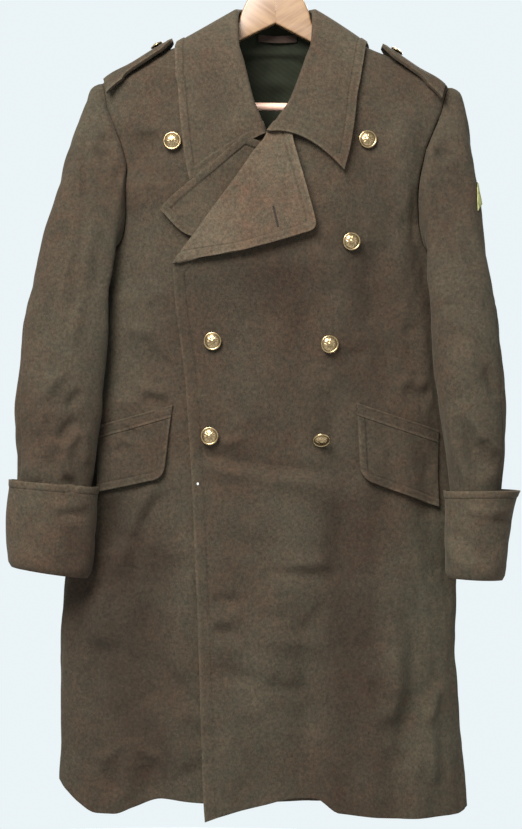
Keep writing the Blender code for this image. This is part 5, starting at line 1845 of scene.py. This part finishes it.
def spun_button(name, radius, base, axis, tilt, steps):
    """A gilt button turned about its axis, with its relief, and its hollows and back marked to
    darken them with tarnish and painted shade.
    """
    shape = bmesh.new()
    line = [shape.verts.new((share * radius, 0.0, height * radius))
            for share, height in BUTTON_SECTION]
    edges = [shape.edges.new(pair) for pair in zip(line, line[1:])]
    bmesh.ops.spin(shape, geom=line + edges, cent=(0, 0, 0), axis=(0, 0, 1),
                   angle=math.tau, steps=steps, use_merge=True)
    bmesh.ops.remove_doubles(shape, verts=shape.verts, dist=1e-4)
    bmesh.ops.recalc_face_normals(shape, faces=shape.faces)
    hollow = shape.verts.layers.float.new("hollow")
    for vertex in shape.verts:
        share = math.hypot(vertex.co.x, vertex.co.y) / radius
        if vertex.co.z > 0.1 * radius:
            work = raised_work(share, math.atan2(vertex.co.y, vertex.co.x))
            vertex.co.z += work * radius
            # The darkening mark: grooves and sunken relief, and half on the back; partly tarnish,
            # partly painted shade.
            groove = math.exp(-((share - 0.77) / 0.035) ** 2)
            vertex[hollow] = min(1.0, groove + max(0.0, -26.0 * work))
        else:
            vertex[hollow] = 0.5
    turn = axis.to_track_quat("Z", "Y").to_matrix().to_4x4()
    droop = Matrix.Rotation(math.radians(tilt), 4, "X")
    stand = Matrix.Translation((0.0, 0.0, 0.22 * radius))
    bmesh.ops.transform(shape, matrix=Matrix.Translation(base) @ droop @ turn @ stand,
                        verts=shape.verts)
    return from_shape(name, shape)


def from_shape(name, shape):
    """Mesh in metres from a bmesh in millimetres."""
    bmesh.ops.scale(shape, vec=(MM, MM, MM), verts=shape.verts)
    mesh = bpy.data.meshes.new(name)
    shape.to_mesh(mesh)
    shape.free()
    return mesh


def hanger_outline():
    """Outline of the half at +X, anticlockwise seen from the front."""
    inner = ARM_FOOT_X - ARM_FOOT_RADIUS
    points = [(GLUE_LINE, UNDER_APEX), (120.0, UNDER_APEX - ARM_SLOPE * 120.0),
              (inner - 4.0, UNDER_APEX - ARM_SLOPE * (inner - 4.0)), (inner, -220.0)]
    for step in range(13):
        bend = math.radians(-180.0 + 15.0 * step)
        points.append((ARM_FOOT_X + ARM_FOOT_RADIUS * math.cos(bend),
                       ARM_FOOT_Z + ARM_FOOT_RADIUS * math.sin(bend)))
    points += ARM_TOP
    start = math.radians(16.5)
    for step in range(25):
        bend = start + (math.pi / 2.0 - 0.004 - start) * step / 24.0
        points.append((max(GLUE_LINE, CROWN_HALF * math.cos(bend)),
                       CROWN_MIDDLE + CROWN_RISE * math.sin(bend)))
    return points


def hanger_half(name, side):
    """One half of the wooden hanger with eased edges, sharp only at the centre joint."""
    shape = bmesh.new()
    front = [shape.verts.new((side * x, -0.5 * HANGER_THICK, z)) for x, z in hanger_outline()]
    shape.faces.new(front if side > 0 else list(reversed(front)))
    thicken(shape, (0.0, HANGER_THICK, 0.0))
    rim = [edge for edge in shape.edges
           if abs(edge.verts[0].co.y - edge.verts[1].co.y) < 1e-6
           and max(abs(vertex.co.x) for vertex in edge.verts) > 1.0]
    bmesh.ops.bevel(shape, geom=rim, offset=EDGE_ROUND, offset_type="OFFSET", segments=4,
                    profile=0.5, affect="EDGES", clamp_overlap=True, material=-1)
    return from_shape(name, shape)


def stadium(length, half_width, thread):
    """A closed loop of thread: two straight sides and two round ends."""
    shape = bmesh.new()
    ring = bmesh.ops.create_circle(shape, segments=10, radius=thread)
    bmesh.ops.rotate(shape, cent=(0, 0, 0), matrix=Matrix.Rotation(math.pi / 2.0, 3, "X"),
                     verts=shape.verts)
    bmesh.ops.translate(shape, vec=(half_width, 0.0, 0.0), verts=shape.verts)
    bmesh.ops.spin(shape, geom=ring["verts"] + list(shape.edges), cent=(0, 0, 0),
                   axis=(0, 0, 1), angle=math.tau, steps=40, use_merge=True)
    bmesh.ops.remove_doubles(shape, verts=shape.verts, dist=1e-4)
    bmesh.ops.recalc_face_normals(shape, faces=shape.faces)
    for vertex in shape.verts:
        vertex.co.y += math.copysign(0.5 * length - half_width, vertex.co.y)
    return shape


# ---- settings and pieces

class CoatSettings(bpy.types.PropertyGroup):
    """Sizes of the coat's edges and small trim, and its main colours."""

    front_margin: bpy.props.FloatProperty(
        name="Front margin", description="From the front edge to its row of stitches",
        default=0.0165, unit="LENGTH", subtype="DISTANCE")
    collar_margin: bpy.props.FloatProperty(
        name="Collar margin", description="From the edges of collar and lapels to the stitches",
        default=0.012, unit="LENGTH", subtype="DISTANCE")
    flap_margin: bpy.props.FloatProperty(
        name="Flap margin", description="From the edges of flaps and straps to the stitches",
        default=0.011, unit="LENGTH", subtype="DISTANCE")
    padding: bpy.props.FloatProperty(
        name="Padding", description="How far the cloth swells between an edge and its stitches",
        default=0.0015, unit="LENGTH", subtype="DISTANCE")
    button_steps: bpy.props.IntProperty(
        name="Button steps", description="Steps round a button", default=120, min=16)
    wool_green: bpy.props.FloatVectorProperty(
        name="Green of the wool", description="The greener of the wool's two mixed colours",
        default=(0.0240, 0.0196, 0.0124), size=3, subtype="COLOR", min=0.0, max=1.0)
    wool_red: bpy.props.FloatVectorProperty(
        name="Red of the wool", description="The redder of the wool's two mixed colours",
        default=(0.0345, 0.0205, 0.0125), size=3, subtype="COLOR", min=0.0, max=1.0)
    lining_dark: bpy.props.FloatVectorProperty(
        name="Lining", description="Darker colour of the back's lining",
        default=(0.0084, 0.0098, 0.0052), size=3, subtype="COLOR", min=0.0, max=1.0)
    gilt_bright: bpy.props.FloatVectorProperty(
        name="Gilt", description="Bright metal of the buttons",
        default=(0.33, 0.240, 0.130), size=3, subtype="COLOR", min=0.0, max=1.0)
    wood_pale: bpy.props.FloatVectorProperty(
        name="Hanger wood", description="Paler colour of the hanger's two halves",
        default=(0.190, 0.110, 0.053), size=3, subtype="COLOR", min=0.0, max=1.0)


class StudioSettings(bpy.types.PropertyGroup):
    """Light, floor and camera."""

    floor_height: bpy.props.FloatProperty(
        name="Floor height", description="Height of the floor under the coat",
        default=-1.75, unit="LENGTH", subtype="DISTANCE")
    floor_radius: bpy.props.FloatProperty(
        name="Floor radius", description="Radius of the round floor",
        default=2.5, unit="LENGTH", subtype="DISTANCE")
    key_power: bpy.props.FloatProperty(
        name="Key light", description="Power of the large light in front", default=300.0,
        unit="POWER")
    back_power: bpy.props.FloatProperty(
        name="Back light", description="Power of the light behind", default=110.0,
        unit="POWER")
    fill_power: bpy.props.FloatProperty(
        name="Fill light", description="Power of the light from the viewer's right",
        default=12.0, unit="POWER")
    air: bpy.props.FloatProperty(
        name="Air", description="Strength of the light from all round", default=1.0)
    lens: bpy.props.FloatProperty(
        name="Lens", description="Focal length in millimetres", default=89.7)
    roll: bpy.props.FloatProperty(
        name="Roll", description="Tilt of the picture", default=math.radians(-0.88),
        subtype="ANGLE", unit="ROTATION")


# Cut of each piece: CAD node, material slot, width and length of the flat cloth in
# metres, its share of that rectangle, how it is held and what it lies on
CUTS = {
    "cloth_front_left": ("front_left_over", "wool", 0.415, 1.12, 0.81, "hung",
        "hanger_half_left"),
    "cloth_front_right": ("front_right_under", "wool", 0.418, 1.1, 0.76, "hung",
        "hanger_half_right"),
    "cloth_back": ("back", "wool", 0.6, 1.08, 0.85, "hung", "hanger_half_left",
        "hanger_half_right"),
    "cloth_sleeve_left_top": ("sleeve_left_top", "wool", 0.165, 0.66, 0.7, "hung",
        "cloth_front_left", "cloth_back"),
    "cloth_sleeve_left_under": ("sleeve_left_under", "wool", 0.15, 0.62, 0.82, "hung",
        "cloth_sleeve_left_top"),
    "cloth_sleeve_right_top": ("sleeve_right_top", "wool", 0.17, 0.66, 0.77, "hung",
        "cloth_front_right", "cloth_back"),
    "cloth_sleeve_right_under": ("sleeve_right_under", "wool", 0.155, 0.62, 0.87, "hung",
        "cloth_sleeve_right_top"),
    "cloth_cuff_left": ("cuff_left", "wool", 0.29, 0.126, 1.0, "folded",
        "cloth_sleeve_left_top"),
    "cloth_cuff_right": ("cuff_right", "wool", 0.32, 0.13, 1.0, "folded",
        "cloth_sleeve_right_top"),
    "cloth_collar": ("collar", "wool", 0.6, 0.155, 0.82, "folded", "cloth_back"),
    "cloth_lapel_left": ("lapel_left", "wool", 0.24, 0.12, 0.73, "folded", "cloth_front_left"),
    "cloth_lapel_right": ("lapel_right", "wool", 0.25, 0.13, 0.7, "folded", "cloth_front_right",
        "cloth_collar"),
    "cloth_welt_left": ("pocket_welt_left", "wool", 0.127, 0.019, 1.0, "laid",
        "cloth_front_left"),
    "cloth_welt_right": ("pocket_welt_right", "wool", 0.113, 0.019, 1.0, "laid",
        "cloth_front_right"),
    "cloth_flap_left": ("pocket_flap_left", "wool", 0.127, 0.09, 0.93, "laid",
        "cloth_front_left"),
    "cloth_flap_right": ("pocket_flap_right", "wool", 0.111, 0.083, 0.91, "laid",
        "cloth_front_right"),
    "cloth_strap_left": ("shoulder_strap_left", "wool", 0.105, 0.06, 0.93, "laid",
        "cloth_front_left", "cloth_back"),
    "cloth_strap_right": ("shoulder_strap_right", "wool", 0.112, 0.06, 0.94, "laid",
        "cloth_front_right", "cloth_back"),
    "cloth_lining": ("back_lining", "lining", 0.24, 0.34, 0.91, "hung", "cloth_back"),
    "tape_loop": ("hang_loop", "loop", 0.057, 0.0112, 1.0, "stretched", "cloth_lining"),
    "stitched_badge": ("sleeve_badge", "badge", 0.038, 0.034, 0.86, "laid",
        "cloth_sleeve_left_top"),
}


def take_place(thing, node=None):
    """Give a piece its body, and hide the CAD node that it stands for."""
    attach(thing, "root")
    if node:
        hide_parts(node)


def material(name, maker, *values, **more):
    """The named material, made once."""
    return bpy.data.materials.get(name) or maker(name, *values, **more)


def in_mm(name):
    """A size of the coat's settings in millimetres."""
    return getattr(bpy.context.scene.greatcoat, name) / MM


def body_wool():
    return material("wool_body", wool, inset=in_mm("front_margin"))


# Lapel facing: the body's wool made 1.62 times lighter and warmer, partly a paler facing cloth,
# partly painted light on its upward-facing surface.
def facing_wool():
    return material("wool_facing", wool, tone=1.62, warmth=2.0, inset=in_mm("collar_margin"),
                    stitched=1.0)


# Collar and right lapel: the body's wool made 1.16 times lighter, partly a paler cloth, partly
# painted light on their upward-facing surfaces.
def collar_wool():
    return material("wool_collar", wool, tone=1.16, inset=in_mm("collar_margin"))


def trim_wool():
    return material("wool_trim", wool, inset=in_mm("flap_margin"), stitched=0.3)


def make_piece(thing):
    """Attach a finished sheet and hide the CAD node that its name stands for; fail where nothing
    was made.
    """
    if not thing.data.vertices:
        raise RuntimeError(thing.name + " has no surface")
    node, slot, width, length, share, held, *rests_on = CUTS[thing.name]
    take_place(thing, node)


class GREATCOAT_OT_fronts(bpy.types.Operator):
    """Both fronts, the wearer's left one over the right one."""

    bl_idname = "greatcoat.fronts"
    bl_label = "Fronts"

    def execute(self, context):
        inset = in_mm("front_margin")
        for word, side in SIDES:
            make_piece(cloth("cloth_front_" + word, *front_grid(side, inset), body_wool(),
                             sewn=("u0",), seams=("u1", "v1"), inset=inset,
                             puff=in_mm("padding")))
        return {"FINISHED"}


class GREATCOAT_OT_back(bpy.types.Operator):
    """The back in one piece."""

    bl_idname = "greatcoat.back"
    bl_label = "Back"

    def execute(self, context):
        make_piece(cloth("cloth_back", *back_grid(), body_wool(), seams=("u0", "u1", "v1")))
        return {"FINISHED"}


class GREATCOAT_OT_sleeves(bpy.types.Operator):
    """Top and under pieces of both sleeves, with the turnings inside their armholes."""

    bl_idname = "greatcoat.sleeves"
    bl_label = "Sleeves"

    def execute(self, context):
        for word, side in SIDES:
            for part in ("top", "under"):
                name = "cloth_sleeve_" + word + "_" + part
                make_piece(cloth(name, *sleeve_grid(side, part == "under"), body_wool(),
                                 seams=("u0", "u1", "v0")))
            turnings = cloth("armhole_allowance_" + word, *allowance_grid(side), body_wool())
            take_place(turnings)
        return {"FINISHED"}


class GREATCOAT_OT_cuffs(bpy.types.Operator):
    """Deep turned-back cuffs."""

    bl_idname = "greatcoat.cuffs"
    bl_label = "Cuffs"

    def execute(self, context):
        look = material("wool_cuff", wool, tone=1.25, inset=CUFF_INSET)
        for word, side in SIDES:
            make_piece(cloth_tube("cloth_cuff_" + word, cuff_grid(side), FACING_WALL, look,
                                  ("v1",), CUFF_INSET, CUFF_PUFF * in_mm("padding")))
        return {"FINISHED"}


class GREATCOAT_OT_collar(bpy.types.Operator):
    """The wide folded collar."""

    bl_idname = "greatcoat.collar"
    bl_label = "Collar"

    def execute(self, context):
        inset = in_mm("collar_margin")
        make_piece(folded_cloth("cloth_collar", collar_grid(inset), DOUBLE_CLOTH, FORWARDS,
                                collar_wool(), sewn=("v1", "u0", "u1"), inset=inset,
                                puff=in_mm("padding")))
        return {"FINISHED"}


class GREATCOAT_OT_lapels(bpy.types.Operator):
    """Both lapels, folded back, and the buttonhole in the left one."""

    bl_idname = "greatcoat.lapels"
    bl_label = "Lapels"

    def execute(self, context):
        inset = in_mm("collar_margin")
        for word, side in SIDES:
            grid = lapel_grid(side, inset)
            look, sewn = (facing_wool(), ("v1",)) if side > 0 else (collar_wool(), ("v1", "u0"))
            make_piece(folded_cloth("cloth_lapel_" + word, grid, FACING_WALL, FORWARDS, look,
                                    sewn=sewn, inset=inset, puff=in_mm("padding")))
            if side > 0:
                self.buttonhole(grid)
        take_place(cloth("gorge_facing", *gorge_grid(), collar_wool()))
        return {"FINISHED"}

    def buttonhole(self, grid):
        """A worked buttonhole that lies on the left lapel."""
        fall = grid[grid.shape[0] // 2:]
        away = np.hypot(fall[..., 0] - HOLE_PLACE[0], fall[..., 2] - HOLE_PLACE[1])
        row, column = np.unravel_index(away.argmin(), away.shape)
        normal = grid_normals(fall)[row, column]
        normal = Vector(-normal if normal[1] > 0.0 else normal)
        slant = Vector(HOLE_SLANT)
        along = (slant - normal * slant.dot(normal)).normalized()
        across = along.cross(normal)
        spot = Vector(fall[row, column]) + normal * (0.5 * DOUBLE_CLOTH + 0.2)
        shape = stadium(HOLE_LENGTH, HOLE_HALF, HOLE_THREAD)
        turn = Matrix((across, along, normal)).transposed().to_4x4()
        bmesh.ops.transform(shape, matrix=Matrix.Translation(spot) @ turn, verts=shape.verts)
        thread = material("buttonhole_thread", plain, rgb(0.012, 0.009, 0.006), 0.9, 3.0, 0.2)
        take_place(linked("lapel_buttonhole", from_shape("lapel_buttonhole", shape), thread))


class GREATCOAT_OT_pockets(bpy.types.Operator):
    """Slanted pocket welts with their flaps."""

    bl_idname = "greatcoat.pockets"
    bl_label = "Pockets"

    def execute(self, context):
        inset = in_mm("flap_margin")
        for word, side in SIDES:
            make_piece(cloth("cloth_welt_" + word, *welt_grid(side), trim_wool(),
                             sewn=("v0", "v1"), inset=WELT_INSET,
                             puff=WELT_PUFF * in_mm("padding")))
            make_piece(cloth("cloth_flap_" + word, *flap_grid(side, inset), trim_wool(),
                             sewn=("v0", "u0"), inset=inset, puff=in_mm("padding")))
        return {"FINISHED"}


class GREATCOAT_OT_straps(bpy.types.Operator):
    """Shoulder straps, sewn in at the sleeve and buttoned near the collar."""

    bl_idname = "greatcoat.straps"
    bl_label = "Shoulder straps"

    def execute(self, context):
        inset = STRAP_MARGIN * in_mm("flap_margin")
        look = material("wool_strap", wool, inset=inset)
        for word, side in SIDES:
            make_piece(folded_cloth("cloth_strap_" + word, strap_grid(side, inset), STRAP_WALL,
                                    UPWARDS, look, sewn=("v0", "v1", "u0"), inset=inset,
                                    puff=STRAP_PUFF * in_mm("padding")))
        return {"FINISHED"}


class GREATCOAT_OT_neck(bpy.types.Operator):
    """Lining inside the back of the neck and the hanging loop."""

    bl_idname = "greatcoat.neck"
    bl_label = "Inside the neck"

    def execute(self, context):
        lining = material("lining_twill", twill, chosen("lining_dark"),
                          rgb(0.0132, 0.0146, 0.0082), 0.9)
        make_piece(cloth("cloth_lining", *lining_grid(), lining))
        tape = material("loop_tape", twill, rgb(0.026, 0.016, 0.012),
                        rgb(0.038, 0.024, 0.018), 0.8)
        make_piece(cloth("tape_loop", *loop_grid(), tape))
        return {"FINISHED"}


class GREATCOAT_OT_badge(bpy.types.Operator):
    """A small plain embroidered badge high on the left sleeve."""

    bl_idname = "greatcoat.badge"
    bl_label = "Sleeve badge"

    def execute(self, context):
        look = material("badge_stitches", embroidery)
        make_piece(cloth("stitched_badge", *badge_grid(), look))
        return {"FINISHED"}


class GREATCOAT_OT_buttons(bpy.types.Operator):
    """Gilt buttons on the fronts and the shoulder straps."""

    bl_idname = "greatcoat.buttons"
    bl_label = "Buttons"

    def execute(self, context):
        for node, side, x, z, extra, tilt in BUTTONS:
            lift = 1.0 + extra + (float(over_lift(x, z)) if side > 0 else 0.0)
            base = Vector(skin_at(np.array(x), np.array(z), lift))
            self.add(node, BUTTON_RADIUS, base, Vector(outward(angle_at(x, z), z)), tilt)
        for word, side in SIDES:
            spots = [Vector(strap_point(side, np.array(along), np.array(0.0)))
                     for along in STRAP_BUTTON_SHARE]
            base = spots[1] + Vector((0.0, 0.0, 0.5 * STRAP_WALL - STRAP_BUTTON_SUNK))
            ahead = spots[2] - spots[0]
            axis = Vector((-ahead.z, 0.0, ahead.x)).normalized()
            axis = -axis if axis.z < 0.0 else axis
            self.add("strap_button_" + word, STRAP_BUTTON_RADIUS, base, axis, 0.0)
        return {"FINISHED"}

    def add(self, node, radius, base, axis, tilt):
        name = "gilt_" + node
        steps = bpy.context.scene.greatcoat.button_steps
        mesh = spun_button(name, radius, base, axis, tilt, steps)
        take_place(linked(name, mesh, material("gilt_brass", gilt)), node)


class GREATCOAT_OT_hanger(bpy.types.Operator):
    """Wooden hanger: two halves, the bar between them and the wire hook."""

    bl_idname = "greatcoat.hanger"
    bl_label = "Hanger"

    def execute(self, context):
        pale, deep = chosen("wood_pale"), rgb(0.125, 0.064, 0.028)
        for word, side in SIDES:
            look = material("beech_" + word, planed_wood, side * math.radians(34.0), pale, deep)
            made = linked("wood_half_" + word, hanger_half("wood_half_" + word, side), look)
            made.data.set_sharp_from_angle(angle=WOOD_CREASE)
            take_place(made, "hanger_half_" + word)
        dowel = material("dowel_wood", planed_wood, 0.0, rgb(0.56, 0.35, 0.26),
                         rgb(0.46, 0.27, 0.19))
        self.dress("hanger_bar", dowel, "dowel")
        self.dress("hanger_hook", material("plated_steel", plated_steel), "steel")
        return {"FINISHED"}

    def dress(self, node, look, slot):
        """Show a CAD node itself in a material."""
        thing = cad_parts[node]
        thing.data.materials.clear()
        thing.data.materials.append(look)


class GREATCOAT_OT_lint(bpy.types.Operator):
    """A white speck of lint near the front edge."""

    bl_idname = "greatcoat.lint"
    bl_label = "Lint"

    def execute(self, context):
        shape = bmesh.new()
        bmesh.ops.create_icosphere(shape, subdivisions=3, radius=LINT_RADIUS)
        bmesh.ops.scale(shape, vec=(1.0, 0.5, 1.25), verts=shape.verts)
        spot = skin_at(*np.array(LINT_PLACE), CLOTH + LINT_LIFT)
        bmesh.ops.translate(shape, vec=Vector(spot), verts=shape.verts)
        white = material("lint_white", plain, rgb(0.42, 0.42, 0.41), 0.9, 1.0, 0.1)
        made = linked("lint_speck", from_shape("lint_speck", shape), white)
        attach(made, "root")
        return {"FINISHED"}


class GREATCOAT_OT_studio(bpy.types.Operator):
    """Plain pale floor and air, soft light and the camera."""

    bl_idname = "greatcoat.studio"
    bl_label = "Studio"

    def execute(self, context):
        wanted = context.scene.greatcoat_studio
        self.floor(wanted)
        self.air(context, wanted)
        for name, power in (("Key", wanted.key_power), ("Fill", wanted.fill_power),
                            ("Back", wanted.back_power)):
            self.light(name, power, *LAMPS[name])
        lens = bpy.data.cameras.new("Camera")
        lens.lens = wanted.lens
        camera = bpy.data.objects.new("Camera", lens)
        context.scene.collection.objects.link(camera)
        camera.location = CAMERA_PLACE
        camera.rotation_euler = (0.5 * math.pi, wanted.roll, 0.0)
        context.scene.camera = camera
        context.scene.view_settings.view_transform = "Standard"
        return {"FINISHED"}

    def floor(self, wanted):
        shape = bmesh.new()
        bmesh.ops.create_circle(shape, cap_ends=True, segments=96, radius=wanted.floor_radius)
        bmesh.ops.translate(shape, vec=(0.0, 0.0, wanted.floor_height), verts=shape.verts)
        mesh = bpy.data.meshes.new("floor")
        shape.to_mesh(mesh)
        shape.free()
        look = Look("floor_pale", 0.9, specular=0.1)
        look.shader.inputs["Base Color"].default_value = rgb(0.52, 0.54, 0.56)
        mesh.materials.append(look.finish())
        floor = bpy.data.objects.new("floor", mesh)
        bpy.context.scene.collection.objects.link(floor)

    def air(self, context, wanted):
        world = bpy.data.worlds.new("Pale air")
        world.use_nodes = True
        sky = world.node_tree.nodes["Background"]
        sky.inputs["Color"].default_value = rgb(0.83, 0.90, 0.93)
        sky.inputs["Strength"].default_value = wanted.air
        context.scene.world = world

    def light(self, name, power, place, target_height, size):
        lamp = bpy.data.lights.new(name, "AREA")
        lamp.shape = "DISK"
        lamp.size = size
        lamp.energy = power
        thing = bpy.data.objects.new(name, lamp)
        bpy.context.scene.collection.objects.link(thing)
        thing.location = place
        ahead = Vector((0.0, 0.0, target_height)) - Vector(place)
        thing.rotation_euler = ahead.to_track_quat("-Z", "Y").to_euler()


PIECE_OPERATORS = (
    GREATCOAT_OT_fronts, GREATCOAT_OT_back, GREATCOAT_OT_sleeves, GREATCOAT_OT_cuffs,
    GREATCOAT_OT_collar, GREATCOAT_OT_lapels, GREATCOAT_OT_pockets, GREATCOAT_OT_straps,
    GREATCOAT_OT_neck, GREATCOAT_OT_badge, GREATCOAT_OT_buttons, GREATCOAT_OT_hanger,
    GREATCOAT_OT_lint, GREATCOAT_OT_studio,
)


class GREATCOAT_PT_pieces(bpy.types.Panel):
    """Everything that can be made, in order."""

    bl_idname = "GREATCOAT_PT_pieces"
    bl_label = "Greatcoat"
    bl_space_type = "VIEW_3D"
    bl_region_type = "UI"
    bl_category = "Greatcoat"

    def draw(self, context):
        layout = self.layout
        for group in (context.scene.greatcoat, context.scene.greatcoat_studio):
            for key in group.__annotations__:
                layout.prop(group, key)
        for operator in PIECE_OPERATORS:
            layout.operator(operator.bl_idname)


CLASSES = (CoatSettings, StudioSettings) + PIECE_OPERATORS + (GREATCOAT_PT_pieces,)


def register():
    for item in CLASSES:
        bpy.utils.register_class(item)
    bpy.types.Scene.greatcoat = bpy.props.PointerProperty(type=CoatSettings)
    bpy.types.Scene.greatcoat_studio = bpy.props.PointerProperty(type=StudioSettings)


def unregister():
    del bpy.types.Scene.greatcoat_studio
    del bpy.types.Scene.greatcoat
    for item in reversed(CLASSES):
        bpy.utils.unregister_class(item)


def main():
    register()
    for operator in PIECE_OPERATORS:
        group, action = operator.bl_idname.split(".")
        getattr(getattr(bpy.ops, group), action)()


if __name__ == "__main__":
    main()
